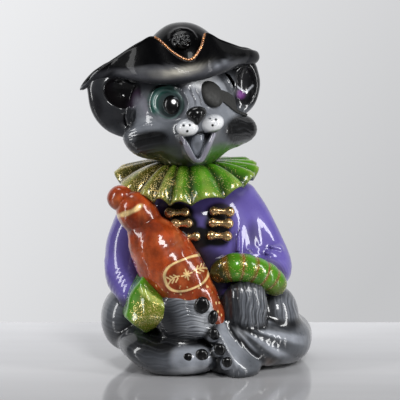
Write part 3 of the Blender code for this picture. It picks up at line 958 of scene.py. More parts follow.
JACKET_PROFILE = (
    *((54, 63.5), (58, 65), (62, 64.5), (78, 62.5), (100, 58.5)),
    *((122, 53.5), (138, 45), (147, 33), (152, 25), (164, 23)),
)
JACKET_BOTTOM, JACKET_TOP = 55.5, 158
JACKET_CLEFT = ((-5, -46, 140, 2), (-4, -50, 128, 3.0), (1, -53, 112, 3.5), (4, -54, 98, 3))
RIGHT_SLEEVE = (
    *((-40, 0, 134, 13), (-55, -3, 119, 17), (-62, -7, 96, 18.5)),
    *((-62.5, -15, 75, 19), (-56, -30, 61, 16)),
)
LEFT_SLEEVE = (
    *((30, 2, 134, 13), (38.5, -2, 119, 14.8), (47.0, -6, 98, 16.2)),
    *((54, -13, 79, 17), (50, -30, 74, 14)),
)
COIN_SLOT_HEIGHT, COIN_SLOT_HALF = 112.0, np.array([19.0, 30.0, 2.5])
UPPER_MELT = 7.0
FRONT_FOLDS = (
    ((35.5, -27, 145, 1.2), (32, -33, 132, 2.6), (28, -38, 113, 2.4), (26.5, -40, 97, 2.0)),
    ((43, -26, 124, 0.8), (44, -28, 112, 1.6), (45, -29, 101, 1.2)),
)
ELBOW_FOLDS = (
    ((35, -36, 97, 0.8), (54, -27, 92.5, 2.0), (63, -15, 86, 1.0)),
    ((48, -30, 99, 0.6), (61, -21, 95.5, 1.5)),
    ((-70, -27, 66, 0.8), (-67, -33, 58, 1.8), (-60, -38, 50, 1.0)),
    ((-79, -14, 84, 0.8), (-76, -22, 76, 1.8), (-68, -30, 72, 1.0)),
)


def jacket_clay(p):
    f = turned_profile(p, JACKET_PROFILE, JACKET_LEAN)
    return carve(f, limb(p, JACKET_CLEFT), 5) + 0.35 * waves(p, 26, 11)


def sleeve_clay(p, line, seed):
    return limb(p, line) + 0.45 * waves(p, 17, seed)


UPPER = {
    "jacket_shell": jacket_clay,
    "right_sleeve": nearby(lambda p: sleeve_clay(p, RIGHT_SLEEVE, 21), "right_sleeve"),
    "left_sleeve": nearby(lambda p: sleeve_clay(p, LEFT_SLEEVE, 22), "left_sleeve"),
}


def fold_lines(p):
    return np.minimum.reduce([limb(p, line) for line in FRONT_FOLDS + ELBOW_FOLDS])


def coin_slot_box():
    openings = {opening["name"]: opening for opening in frame["record"]["physics"]["openings"]}
    low, high = np.array(openings["coin_slot"]["box_m"]) / MM
    return low - HOME, high - HOME


def coin_slot(p):
    low, high = coin_slot_box()
    middle = np.array([(low[0] + high[0]) / 2, high[1] - 8, COIN_SLOT_HEIGHT])
    q = np.abs(p - middle) - COIN_SLOT_HALF
    return np.linalg.norm(np.maximum(q, 0), axis=1) + np.minimum(q.max(1), 0)


def upper_member(name):
    own = list(UPPER).index(name)

    def field(p):
        fields = [clay(p) for clay in UPPER.values()]
        raised = melt(share(fields, own, UPPER_MELT), fold_lines(p) + 1.2, UPPER_MELT)
        f = np.maximum(raised, fields[own] - SKIRT)
        if name == "jacket_shell":
            f = meet(f, JACKET_BOTTOM - p[:, 2], 2)
            f = np.maximum(f, -hollow_clay(p))
            f = carve(f, coin_slot(p), ROUND_EDGE)
            f = meet(f, p[:, 2] - JACKET_TOP, 2)
        return f

    return field


def jacket_paint(p):
    x, y, z = p.T
    paint = coat(p, PURPLE)
    spray(paint, 0.3 + 0.2 * waves(p, 22, 31), (104, 92, 168))
    front = soft(-y, 26, 44)
    opening = limb(p, ((-5, -48, 145, 3), (-3, -50, 128, 5), (2, -52, 108, 6), (8, -52, 88, 9)))
    spray(paint, 0.8 * fade(opening, -1, 9) * front, (22, 16, 22))
    for name in CLASPS:
        spray(paint, 1.1 * near(p, centre(name, 0, 0, -1), (13.5, 15, 9.0), 0.4), (9, 7, 8))
    # painted shade on the jacket under the ruff
    under_ruff_shade = soft(z, 122, 140)
    spray(paint, 0.75 * under_ruff_shade * soft(x * 0.3 - y, 20, 48), (52, 26, 66))
    # dark brown on the jacket beside the bottle: partly the bottle's orange overspray, partly painted shadow
    bottle = limb(p, BOTTLE_LINE)
    spray(paint, 0.9 * fade(bottle, 0.5, 12), (30, 13, 10))
    # painted shade in the triangular fold on the left sleeve
    spray(paint, 0.65 * near(p, (40.5, -32, 110), (7, 12, 11), 0.9), (48, 38, 84))
    # painted shade on the jacket around the left cuff
    spray(paint, 0.7 * fade(left_cuff_clay(p), 0, 9), (44, 30, 60))
    spray(paint, 0.45 * near(p, (-78, -12, 60), (16, 26, 18)), PURPLE_DEEP)
    spray(paint, 0.8 * soft(-z, -62, -54) * soft(-y, -60, 0), (50, 44, 74))
    return paint


def build_jacket():
    for name in UPPER:
        sculpt(name, upper_member(name), jacket_paint, PURPLE_GLAZE)


# ---- Bottle ----

BOTTLE_LINE = (
    (6, -55, 43.5, 10.5),
    (1.5, -54.5, 49.5, 13.8),
    (-8, -53, 60, 18.2),
    (-19, -51, 73, 22.6),
    (-29, -49, 87, 25.0),
    (-37.0, -48, 99.5, 22.8),
    (-44.0, -47, 110.5, 17.4),
    (-48.0, -46, 117.3, 14.6),
    (-51.0, -45.5, 123.2, 15.2),
    (-55.2, -44.5, 128.8, 15.6),
    (-60.0, -43.5, 133.4, 11.0),
)
BOTTLE_LIP = ((-68.5, -48, 125.6), (-61, -60, 129.5), (-54, -60.5, 133), (-48, -52, 136))
LABEL_MIDDLE = np.array([-14.4, -70.0, 82.5])
LABEL_TURN = math.radians(17)
LABEL_HALF = (20.0, 13.5)
LABEL_POWER = 2.6
LABEL_BACK = -50  # the label is kept to the bottle's front


def bottle_clay(p):
    return limb(p, BOTTLE_LINE) + 0.45 * waves(p, 11, 41) + 0.16 * waves(p, 5, 42)


def stopper_clay(p):
    f = ball(p, centre("bottle_stopper", -0.8, 0, 0.6), (10.6, 10.2, 10.6))
    neck = limb(p, ((-60, -43, 133, 7), (-66, -41.5, 137.5, 7)))
    return melt(f, neck, 3) + 0.25 * waves(p, 7, 43)


def label_place(p):
    """Coordinates across and up the label."""
    x, z = p[:, 0] - LABEL_MIDDLE[0], p[:, 2] - LABEL_MIDDLE[2]
    u = x * math.cos(LABEL_TURN) + z * math.sin(LABEL_TURN)
    v = -x * math.sin(LABEL_TURN) + z * math.cos(LABEL_TURN)
    return u, v


def label_shape(u, v):
    """Barrel outline: flat ends and bowed sides, negative inside."""
    a, b = LABEL_HALF
    side = (np.abs(u / a) ** LABEL_POWER + np.abs(v / b) ** LABEL_POWER) ** (1 / LABEL_POWER)
    return (side - 1) * min(a, b)


def label_clay(p):
    u, v = label_place(p)
    bottle = bottle_clay(p)
    plate = np.maximum(bottle - 0.7, -bottle - 3.0)
    return meet(plate, np.maximum(label_shape(u, v), p[:, 1] - LABEL_BACK), 0.6)


def ornament(u, v):
    """A generic star between two sprigs, as strokes. Distance to the nearest stroke."""
    q = np.stack([u, v], -1)
    lines = []
    for k in range(8):
        length, angle = (4.2, 2.6)[k % 2], math.pi * k / 4
        lines.append(line_distance(q, (0, 0), (length * math.cos(angle), length * math.sin(angle))))
    for side in (-1, 1):
        w = u * side
        lines.append(np.hypot(np.maximum(np.abs(w - 10.5) - 4.5, 0), v + 0.06 * (w - 8) ** 2 - 1.0))
        for at in (7.5, 10.5, 13.5):
            for up in (-1, 1):
                leaf = (at, 0.5 * up), (at + 2.4, 2.9 * up)
                lines.append(line_distance(q * [side, 1], *leaf))
    return np.minimum.reduce(lines)


def bottle_paint(p):
    paint = coat(p, ORANGE)
    spray(paint, 0.5 + 0.35 * waves(p, 12, 51), (140, 52, 18))
    spray(paint, 0.35 * soft(waves(p, 8, 52), 0.1, 0.9), AMBER)
    spray(paint, 0.7 * near(p, (-50, -44, 119), (16, 30, 10)), RUSSET)
    spray(paint, 0.55 * soft(-label_place(p)[1], 18, 30), RUSSET)
    spray(paint, 0.5 * near(p, (-40, -58, 96), (20, 14, 14)), (176, 84, 44))
    lip = limb(p, [(*stop, 0.7) for stop in BOTTLE_LIP])
    spray(paint, 0.85 * fade(lip, 0.6, 2.2), CREAM)
    speckle = (waves(p, 1.6, 55) > 0.95) & (p[:, 2] < 74)
    spray(paint, 0.8 * speckle, CREAM)
    return paint


def label_paint(p):
    paint = bottle_paint(p)
    u, v = label_place(p)
    spray(paint, 0.35 * fade(label_shape(u, v), -4, 0), (122, 52, 18))
    ring = np.abs(label_shape(u, v) + 1.6)
    line = np.minimum(ring, ornament(u, v) + 0.25)
    spray(paint, 0.95 * fade(line, 0.45, 1.05), CREAM)
    return paint


def build_bottle():
    sculpt("bottle", bottle_clay, bottle_paint, BOTTLE_GLAZE, CELL)
    sculpt("bottle_stopper", stopper_clay, bottle_paint, BOTTLE_GLAZE, FINE)
    sculpt("bottle_label", label_clay, label_paint, BOTTLE_GLAZE, 0.7 * FINE)


# ---- Cuffs ----

CUP_FACES = (  # normal of each facet and a point on it
    ((0.76, -0.30, 0.65), (-36.5, -52, 72.2)),
    ((0.97, -0.10, -0.20), (-24.5, -58, 51.5)),
    ((0.50, -0.20, -0.84), (-39, -55, 36.5)),
    ((-0.62, -0.15, -0.78), (-57, -48, 38.2)),
    ((-0.96, -0.10, 0.22), (-63.6, -45, 55)),
    ((-0.80, -0.10, 0.60), (-54.5, -48, 75)),
    ((0.22, -0.97, 0.16), (-40, -74.0, 56)),
    ((-0.62, -0.76, 0.16), (-57, -66.5, 56)),
    ((0.42, -0.66, 0.62), (-40, -69.0, 67)),
    ((0.05, -0.80, -0.60), (-44, -70, 42)),
    ((0.0, 1.0, 0.0), (-48, -24, 56)),
)
CUP_ROUNDING = 2.6
CUP_RIDGES = (
    ((-51.5, -70, 70), (-42, -72.5, 64), (-31, -71, 57.5)),
    ((-46, -64, 82), (-36, -66, 71), (-27, -66, 60)),
)


def right_cuff_clay(p):
    f = plane(p, CUP_FACES[0][1], CUP_FACES[0][0])
    for normal, point in CUP_FACES[1:]:
        f = meet(f, plane(p, point, normal), CUP_ROUNDING)
    return f + 0.25 * waves(p, 8, 61)


LEFT_CUFF = (
    *((13, -50, 81, 9.5), (19, -52, 84, 11.2), (28, -51.5, 85, 11.6)),
    *((40, -47.5, 81, 11.6), (50, -41.5, 75, 11.4), (56, -37, 69, 10.2)),
)
PLEAT = 9.4


def pleat_wave(length):
    """1 on top of each pleat, 0 in the valleys."""
    return np.abs(np.cos(math.pi * (length - 2.0) / PLEAT))


def pleats(length):
    return pleat_wave(length) ** 0.7 - 0.9


def left_cuff_clay(p):
    return limb(p, LEFT_CUFF, pleats, 8)


def right_cuff_paint(p):
    _, y, z = p.T
    paint = coat(p, GREEN)
    left_face = soft(plane(p, (-52, -64, 56), (-1, 0.1, 0.35)), -2, 5)
    spray(paint, 0.5 * (1 - left_face) * soft(-y, 56, 66), OLIVE)
    ridges = np.minimum(*[limb(p, [(*stop, 0.5) for stop in ridge]) for ridge in CUP_RIDGES])
    spray(paint, 0.75 * fade(ridges, 0.8, 3.4), YELLOW_GREEN)
    inner = near(p, (-44, -72, 48), (14, 14, 14), 0.8)
    spray(paint, 0.6 * inner, (120, 124, 40))
    paint[:, 3] = 0.06 + 0.62 * inner
    spray(paint, 0.6 * soft(-z, -40, -31), GREEN_DEEP)
    spray(paint, 0.7 * soft(y, -48, -34), GREEN_DEEP)
    return paint


def left_cuff_paint(p):
    paint = coat(p, GREEN)
    stops = smooth_path(LEFT_CUFF, 8)
    gone = np.concatenate([[0], np.cumsum(np.linalg.norm(np.diff(stops[:, :3], axis=0), axis=1))])
    nearest = np.argmin(((p[:, None, :] - stops[None, :, :3]) ** 2).sum(2), axis=1)
    along = gone[nearest]
    valley = 1 - pleat_wave(along)
    spray(paint, 0.85 * fade(p[:, 0], 14, 24), (52, 48, 16))
    spray(paint, 0.9 * soft(valley, 0.35, 0.95), (116, 78, 24))
    spray(paint, 0.55 * soft(-p[:, 2], -78, -62), (96, 92, 36))
    spray(paint, 0.7 * fade(np.abs(along - gone[-1] - 4.5), 1.0, 3.0), YELLOW_GREEN)
    paint[:, 3] = 0.05 + 0.5 * soft(valley, 0.4, 0.9) + 0.2 * near(p, (26, -62, 76), (22, 12, 10))
    return paint


def build_cuffs():
    sculpt("right_cuff", right_cuff_clay, right_cuff_paint, GREEN_GLAZE, FINE)
    sculpt("left_cuff", left_cuff_clay, left_cuff_paint, GREEN_GLAZE, FINE)


# ---- Ruff ----

RUFF_PLEATS = 17
RUFF_RINGS = RUFF_PLEATS * 22
NECK_MIDDLE = np.array([-14.5, -8.0])
RUFF_RADII = np.array([57.0, 51.5])
RUFF_INNER, RUFF_TOP, RUFF_STEPS, RUFF_THICKNESS = 21.0, 163.0, 13, 4.8
HEM_START, HEM_LENGTH = 0.88, 0.13  # rounding of the outer edge, as shares of the way out


def ruff_fold(angle):
    """1 on the round top of a pleat, -1 in the sharp valley between two. Pleats differ in width."""
    warped = angle + 0.09 * np.sin(3 * angle + 1.0) + 0.05 * np.sin(5 * angle + 2.0)
    return 2 * np.abs(np.cos(RUFF_PLEATS * warped / 2)) ** 0.95 - 1


def ruff_section(angle):
    """Closed section of the collar at an angle from the front: out along the top, back underneath."""
    fold = float(ruff_fold(angle))
    ahead = (1 + math.cos(angle)) / 2
    uneven = 0.6 * math.sin(3 * angle + 1.0) + 0.5 * math.sin(7 * angle)
    direction = np.array([math.sin(angle), -math.cos(angle)])
    edge_z = 157.5 + 2.6 * direction[0] - 20.5 * ahead**3 + 0.9 * uneven
    top, under = [], []
    for step in range(RUFF_STEPS):
        t = step / (RUFF_STEPS - 1)
        radii = RUFF_INNER + (RUFF_RADII * (1 + 0.012 * uneven) - RUFF_INNER) * t
        lift = (0.15 + 0.85 * t) * 3.9 * fold
        z = RUFF_TOP - (RUFF_TOP - edge_z) * t**1.7 + 0.75 * lift
        radii = radii + 0.5 * lift * t
        half = 0.5 * RUFF_THICKNESS * math.sqrt(max(0.0, 1 - (max(t - HEM_START, 0) / HEM_LENGTH) ** 2))
        z += 0.9 * t * math.sin(9 * angle + 1.5) * math.sin(4 * angle)
        x, y = NECK_MIDDLE + direction * radii
        top.append((x, y, z + half))
        under.append((x, y, z - half))
    return top + under[::-1]


def lofted(sections):
    points = np.array(sections)
    rings, around = points.shape[:2]
    i, j = np.meshgrid(np.arange(rings), np.arange(around), indexing="ij")
    a = i * around + j
    b = i * around + (j + 1) % around
    c = (i + 1) % rings * around + (j + 1) % around
    d = (i + 1) % rings * around + j
    return points.reshape(-1, 3), np.stack([a, d, c, b], -1).reshape(-1, 4)


def ruff_paint(p):
    x, y, z = p.T
    flat = (p[:, :2] - NECK_MIDDLE) / RUFF_RADII
    angle = np.arctan2(flat[:, 0], -flat[:, 1])
    out = np.hypot(flat[:, 0], flat[:, 1])
    fold = ruff_fold(angle)
    paint = coat(p, GREEN)
    left = soft(-x, 4, 44)
    spray(paint, 0.85 * left, (84, 72, 22))
    # painted shade in the valleys between the pleats, browner on the left
    spray(paint, 0.85 * soft(-fold, -0.8, 0.9), (26, 50, 6))
    spray(paint, 0.6 * left * soft(-fold, -0.4, 0.6), (52, 38, 12))
    # painted highlights along the pleat tops and a yellowish one along the outer edge
    spray(paint, 0.22 * soft(fold, 0.7, 1.0) * soft(out, 0.5, 0.9), YELLOW_GREEN)
    spray(paint, 0.35 * soft(out, 0.95, 1.02), (150, 148, 70))
    # painted shade where the collar runs in under the head
    spray(paint, 0.85 * fade(out, 0.40, 0.62), (16, 30, 8))
    hem = soft(out, 0.97, 1.03) * soft(-y, 25, 50) * fade(z, 134, 139)
    spray(paint, 0.8 * hem, (70, 34, 60))
    paint[:, 3] = 0.14 + 0.75 * left + 0.16 * soft(-y, 20, 50) - 0.14 * soft(x, 10, 40)
    paint[:, 3] *= 0.5 + 0.5 * soft(waves(p, 9, 71), -0.6, 0.6)
    return paint


def build_ruff():
    sections = [ruff_section(2 * math.pi * i / RUFF_RINGS) for i in range(RUFF_RINGS)]
    points, faces = lofted(sections)
    obj = build_object("ruff_collar_glazed", points, faces, ruff_paint, GREEN_GLAZE)
    place(obj, "ruff_collar")


# ---- Clasps ----

CLASPS = [f"{side}_clasp_{level}" for side in ("left", "right") for level in ("top", "middle", "bottom")]


def clasp_clay(name):
    """A fat cord bar with a bead at its outer end and a smaller one at the opening."""
    side = 1 if name.startswith("left") else -1
    behind_bottle = 6.0 if name == "right_clasp_bottom" else 0
    middle = centre(name, -behind_bottle, 0.3 * behind_bottle - 1.2, 0)
    low, high = box(name)
    half = max((high[0] - low[0]) / 2, 7.0)
    outer, inner = middle + [side * (half - 2.6), 0.3, -0.4], middle - [side * (half - 2.2), 0, -0.3]

    def field(p):
        bar = limb(p, ((*inner, 3.0), (*middle, 2.5), (*outer, 3.2)))
        ends = np.minimum(ball(p, outer, (4.0, 3.6, 4.2)), ball(p, inner, (3.5, 3.2, 3.8)))
        return melt(bar, ends, 1.0)

    return field


def build_clasps():
    for name in CLASPS:
        sculpt(name, clasp_clay(name), plain(CREAM), GOLD, 0.7 * FINE, margin=4)


# ---- Head ----

RIGHT_CHEEK = (
    (-20, -21, -9, 18),
    (-31, -15, -8, 17),
    (-38, -12, -6.5, 14.8),
    (-44, -10.5, -4.4, 10.4),
    (-48.5, -9, -3.0, 5.0),
    (-51.6, -8.5, -2.6, 1.4),
)
LEFT_CHEEK = (
    (18, -21, -11, 18),
    (31, -15, -12, 15.8),
    (38, -12.5, -12.8, 13.8),
    (45, -10.5, -13.6, 11.2),
    (51.0, -9, -15.4, 5.8),
    (54.8, -8.5, -16.4, 1.5),
)
CHEEK_FLAT = 1.15


def skull_clay(h):
    cheeks = [flat_limb(h, line, CHEEK_FLAT) for line in (RIGHT_CHEEK, LEFT_CHEEK)]
    skull = ball(h, (0, 1, 10), (43.5, 42, 44))
    jowl = ball(h, (-1, -13, -20), (29, 26, 18.5))
    muzzle = ball(h, (0, -37, -8), (18, 14, 13))
    bridge = limb(h, ((0, -38, 28, 6), (-1, -43, 14, 6), (-1.5, -46, 4, 7)))
    f = melt(melt(skull, jowl, 10), all_melted(cheeks, 6), 5)
    return melt(melt(f, muzzle, 8), bridge, 8)


EYE = np.array([-17.0, -40.5, 15.6])
EYE_HALF = (6.9, 5.0, 7.9)
FROWN = ((-6.6, 0.10, 28, 13), (-0.6, 0.06, 28, 12), (5.0, -0.05, 26, 12))  # place, lean, top and foot


def eye_distance(h, shift_x=0.0, shift_z=0.0):
    return np.hypot(h[:, 0] - EYE[0] - shift_x, (h[:, 2] - EYE[2] - shift_z) / 1.12)


def frown_lines(h):
    """For each brow crease, the distance from it and how far a point is within its length."""
    x, _, z = h.T
    for x0, lean, top, low in FROWN:
        away = np.abs(x - x0 - lean * (z - 20) - 1.1 * np.sin((z - 10) * 0.33))
        yield away, soft(z, low - 3, low + 2) * fade(z, top - 4, top)


def cheek_fur(h):
    x, y, z = h.T
    return strokes(z + 0.12 * np.abs(x), x + 0.5 * y, 3.4, 0.7)


def face_relief(h):
    """Eye socket, brow creases and cheek fur, as a change of height."""
    x, y, z = h.T
    d = eye_distance(h, -1.5, 1.5)
    ahead = soft(-y, 22, 34)
    rings = 0.7 * hump(d - 13.2, 1.5) - 0.7 * hump(d - 10.6, 1.1)
    frown = -sum(hump(away, 0.9) * within for away, within in frown_lines(h))
    fur = cheek_fur(h) * soft(np.abs(x), 26, 38) * fade(z, 2, 10)
    return ahead * (rings + 0.7 * frown) + 0.14 * fur


EARS = {  # by side (-1 is the cat's right), from the tip down
    -1: (
        *((-55.5, 4, 38, 17.5), (-56, 4, 26, 17.0), (-54.5, 3, 15.5, 13.5)),
        *((-50.5, -1, 5.5, 8.0), (-47.5, -4, 0.5, 4.0)),
    ),
    1: (
        *((55, 4, 32, 15.5), (56, 4, 23, 14.5), (54.5, 3, 12.5, 11.0)),
        *((51, -1, 5.5, 7.0), (48, -3, 2.5, 5.0)),
    ),
}
EAR_FLAT = 1.75
EAR_CUPS = {
    -1: ((-47.0, -9.5, 33.5), (16.0, 11, 12.8), (0, 28, 0)),
    1: ((57.0, -7, 21.5), (9.6, 10, 16.0), (0, 10, 0)),
}
EAR_FOLD = ((-43, -14, 27, 1.4), (-45.5, -12.5, 20, 2.4), (-47.5, -11, 12, 2.2), (-46, -11, 6, 1.6))


def ear_clay(h, side):
    f = flat_limb(h, EARS[side], EAR_FLAT) / 1.3
    root = limb(h, ((side * 38, 0, 26, 13), (side * 48, 2, 22, 11)))
    f = melt(f, root, 6)
    if side < 0:
        f = melt(f, limb(h, EAR_FOLD), 3)
    return carve(f, ball(h, *EAR_CUPS[side]), 2.2)


LIP = (
    (-12.2, -44.5, -13.0, 2.8),
    (-12.0, -46.5, -18.0, 3.2),
    (-10.4, -46.8, -24.0, 3.4),
    (-7.6, -46.0, -29.0, 3.5),
    (-4.0, -45.2, -30.8, 3.5),
    (-0.2, -45.6, -27.2, 3.3),
    (4.6, -46.6, -20.6, 3.1),
    (10.0, -46.0, -14.0, 2.7),
)
TONGUE = ((-1.5, -41.0, -13, 6.0), (-3.8, -42.0, -21, 5.0), (-5.2, -42.5, -26, 2.6))


def lip_and_bowl(h):
    bowl = ball(h, (-2.5, -36.5, -22.0), (11.5, 9.5, 13.0))
    return melt(limb(h, LIP), bowl, 2.0)


def mouth_hollow(h):
    """A rounded V-shaped hole down to the tongue."""
    left = plane(h, (-10.6, -46, -20), (-0.95, 0, -0.30))
    right = plane(h, (3.0, -46, -20), (0.80, 0, -0.60))
    f = meet(meet(left, right, 4), h[:, 2] + 10.5, 2)
    f = np.maximum(f, h[:, 1] + 40.5)
    return np.maximum(f, -limb(h, TONGUE))


def member_of_head(clay, node):
    return nearby(lambda p: clay(to_head(p)), node)


HEAD_FORM = {
    "head_shell": member_of_head(lambda h: skull_clay(h) - face_relief(h), "head_shell"),
    "right_ear": member_of_head(lambda h: ear_clay(h, -1), "right_ear"),
    "left_ear": member_of_head(lambda h: ear_clay(h, 1), "left_ear"),
    "lower_jaw": member_of_head(lip_and_bowl, "lower_jaw"),
}
HEAD_MELT, HEAD_SKIRT = 2.0, 3.0


def head_member(name):
    own = list(HEAD_FORM).index(name)

    def field(p):
        f = share([clay(p) for clay in HEAD_FORM.values()], own, HEAD_MELT, HEAD_SKIRT)
        if name in ("head_shell", "lower_jaw"):
            f = carve(f, mouth_hollow(to_head(p)), 1.0)
        return f

    return field


def head_paint(p):
    """Airbrushed face, from pale forehead to black cheeks and green chin, running on over ears and jaw, with
    a painted highlight above the eye patch and painted shade under the brim.
    """
    h = to_head(p)
    x, y, z = h.T
    paint = coat(p, (88, 91, 96))
    spray(paint, 0.3 + 0.3 * waves(h, 14, 81), (76, 79, 84))
    ahead = soft(-y, 18, 32)
    spray(paint, 0.7 * ahead * near(h, (8, -40, 14), (24, 40, 20)), (116, 119, 126))
    # painted shade under the brim, left off where the highlight above the patch goes
    under_brim_shade = soft(z - brim_foot(np.clip(x / 50, -1, 1)), -9, -3)
    spray(paint, 0.8 * under_brim_shade * (1 - near(h, (12, -42, 31), (13, 30, 9))), (50, 52, 56))
    # painted highlight on the brow above the eye patch
    spray(paint, 0.85 * ahead * near(h, (14, -42, 31), (16, 30, 8)), WHITE)
    spray(paint, 0.7 * ahead * near(h, (33, -28, 22), (13, 26, 18)), PALE_GREY)
    # painted shade on the temple of the cat's right side, under the brim
    spray(paint, 0.8 * ahead * near(h, (-30, -32, 27), (18, 26, 10)), (54, 56, 60))
    spray(paint, 0.7 * near(h, (1, -44, 10), (7, 14, 16)), (132, 135, 142))
    paint_cheeks(paint, h)
    paint_chin(paint, h)
    paint_eye_ring(paint, h)
    paint_brow(paint, h)
    paint_ears(paint, h)
    spray(paint, 0.95 * near(h, (0, -46, -12.0), (11, 20, 2.4), 0.5), BLACK)
    paint_mouth(paint, h)
    return paint


def paint_cheeks(paint, h):
    fur = cheek_fur(h)
    dabs(paint, h,
        # painted highlight along the top of the cat's right cheek
        (0.75, (-36, -30, 4.5), (18, 24, 8), (116, 120, 127)),
        (1.1, (-39, -34, -11), (17, 60, 9.5), BLACK, 0.55),
        (0.9, (-32, -30, -20), (20, 60, 9), (30, 31, 32)),
        (0.4, (-51, -14, -4), (5, 18, 5), (90, 93, 98)),
        # painted highlight along the top of the cat's left cheek
        (0.8, (30, -36, 1), (15, 24, 7), (122, 126, 133)),
        (1.1, (41, -30, -14.5), (17.5, 60, 12.0), BLACK, 0.5),
        (0.5, (42, -20, -26), (10, 18, 3.5), (84, 86, 90)),
    )
    spray(paint, 0.07 * soft(fur, 0, 0.9) * soft(np.abs(h[:, 0]), 24, 34) * fade(h[:, 2], 0, 8), MID_GREY)
    spray(paint, 0.4 * near(h, (-18, -44, -18), (9, 20, 12)), (74, 77, 83))


def paint_chin(paint, h):
    x, _, z = h.T
    chin = soft(-z, 22, 33)
    spray(paint, 0.9 * chin * soft(x, -6, 12), (54, 98, 20))
    spray(paint, 0.95 * chin * soft(-x, 2, 14), (36, 40, 16))
    dabs(paint, h,
        (0.6, (16, -32, -29), (14, 26, 7), (56, 100, 24)),
        (0.35, (-30, -30, -24), (16, 26, 8), (60, 74, 30)),
    )


def paint_eye_ring(paint, h):
    x, y, z = h.T
    dx, dz = x - EYE[0] + 3.0, z - EYE[2] - 3.0
    d = np.hypot(dx, dz / 1.05)
    angle = np.degrees(np.arctan2(dz, -dx))
    ahead = soft(-y, 20, 30)
    upper = soft(angle, -60, -25) * fade(angle, 135, 170)
    spray(paint, 0.95 * ahead * upper * soft(d, 3.0, 6.0) * fade(d, 11.5, 14.5), TEAL)
    spray(paint, 0.7 * ahead * upper * fade(np.abs(d - 9.0), 0.4, 1.4), (96, 128, 124))
    spray(paint, 0.85 * ahead * fade(eye_distance(h), 8.0, 10.5), (46, 60, 60))
    spray(paint, 0.6 * ahead * fade(np.abs(eye_distance(h, -1, 1) - 10.2), 0.3, 1.0), (96, 122, 118))
    arc = soft(angle, 40, 52) * fade(angle, 100, 115)
    spray(paint, 0.95 * arc * ahead * fade(np.abs(d - 12.6), 0.5, 1.3), BLACK)
    for z0 in (2.6, -0.6):
        flick = np.hypot(np.maximum(np.abs(dx + 13.6) - 2.8, 0), dz - z0 + 0.15 * (dx + 13.6))
        spray(paint, 0.9 * ahead * fade(flick, 0.3, 1.0), BLACK)
    spray(paint, 0.6 * near(h, EYE + [-18.5, 6, 5], (3, 20, 12)), LILAC)


def paint_brow(paint, h):
    for away, within in frown_lines(h):
        # painted shade along each brow crease
        spray(paint, 0.6 * fade(away, 0.3, 1.6) * within * soft(-h[:, 1], 22, 34), (62, 64, 70))


EAR_HIGHLIGHT_STROKES = (((49, 22), (57, 15.5)), ((57, 15.5), (63, 20)))  # painted highlight strokes forming a pale V, across and up, in the left ear


def paint_ears(paint, h):
    x, y, z = h.T
    outside = soft(np.abs(x), 42, 47) * soft(z, 2, 10)
    spray(paint, 0.9 * outside, (42, 43, 46))
    for side, cup in EAR_CUPS.items():
        inside = fade(ball(h, *cup), -0.6, 1.6) * soft(side * x, 30, 36)
        spray(paint, inside, (14, 11, 12))
    dabs(paint, h,
        (0.9, (-41, -14, 29), (6.5, 12, 9.5), (64, 50, 68), 0.7),
        (0.5, (-38.5, -18, 20), (3.5, 12, 10), (122, 124, 132)),
        (0.95, (-71.5, 0, 26), (7.0, 16, 11), (26, 26, 29), 0.6),
        (0.75, (-51, -6, 6), (9, 14, 8), (34, 35, 38)),
        (0.7, (-47.5, -13, 12), (3.5, 12, 8), (36, 37, 40), 0.7),
    )
    spray(paint, 0.95 * soft(x, 46, 52) * soft(z, 0, 8), (20, 20, 22))
    spray(paint, 0.9 * near(h, (51.5, -8, 15.0), (5.0, 14, 4.0), 0.8), (118, 62, 130))
    # painted highlights: the pale V strokes in the left ear
    for start, end in EAR_HIGHLIGHT_STROKES:
        line = fade(line_distance(h[:, (0, 2)], start, end), 0.35, 1.12)
        spray(paint, 0.85 * line * soft(x, 40, 44) * soft(-y, -11, -8), SILVER)


def paint_mouth(paint, h):
    x, y, z = h.T
    lip = limb(h, LIP)
    ahead = soft(-y, 36, 40)
    spray(paint, ahead * fade(lip, 0.2, 2.0), LILAC)
    inside = fade(mouth_hollow(h), 0.2, 1.6) * soft(-y, 30, 36) * fade(z, -13, -10)
    spray(paint, 0.9 * inside, (116, 120, 128))
    spray(paint, 0.6 * inside * soft(x - 0.3 * (z + 20), 1.5, 4.0), (54, 56, 62))


PUFFS = {-1: ((-10.0, -48.8, -5.0), (8.9, 8.0, 7.2)), 1: ((10.4, -47.6, -5.2), (10.2, 8.4, 7.6))}


def puff_clay(side):
    middle, radii = PUFFS[side]

    def field(p):
        h = to_head(p)
        return ball(h, middle, radii, (0, side * -10, 0)) + 0.10 * waves(h, 4, 86)

    return field


PUFF_DOTS = ((-14.2, -2.8), (-9.6, -3.4), (-12.2, -7.8), (8.0, -1.0), (12.4, -2.8), (8.8, -6.8))


def puff_paint(p):
    h = to_head(p)
    paint = coat(p, WHITE)
    for x, z in PUFF_DOTS:
        away = np.hypot(h[:, 0] - x, h[:, 2] - z)
        spray(paint, 0.95 * fade(away, 0.7, 1.3), BLACK)
    edge = soft(np.hypot((np.abs(h[:, 0] - 0.3) - 10.2) / 10, (h[:, 2] + 5) / 7.4), 0.70, 1.0)
    spray(paint, 0.7 * edge, PALE_GREY)
    spray(paint, 0.55 * soft(h[:, 2], -4.5, 1.5), PALE_GREY)
    spray(paint, 0.9 * soft(-h[:, 2], 10.4, 12.4) * soft(-h[:, 1], 42, 47), BLACK)
    return paint


def nose_clay(p):
    h = to_head(p)
    f = ball(h, (-1.6, -53.0, 4.6), (8.3, 6.2, 5.6), (14, 0, 0))
    point = limb(h, ((-1.8, -54, 3, 5.0), (-3.0, -55, -2.2, 2.2)))
    f = melt(f, point, 3.5)
    for side in (-1, 1):
        f = carve(f, ball(h, (-1.8 + side * 4.3, -58.6, 3.2), (1.3, 1.6, 1.0)), ROUND_EDGE)
    return f


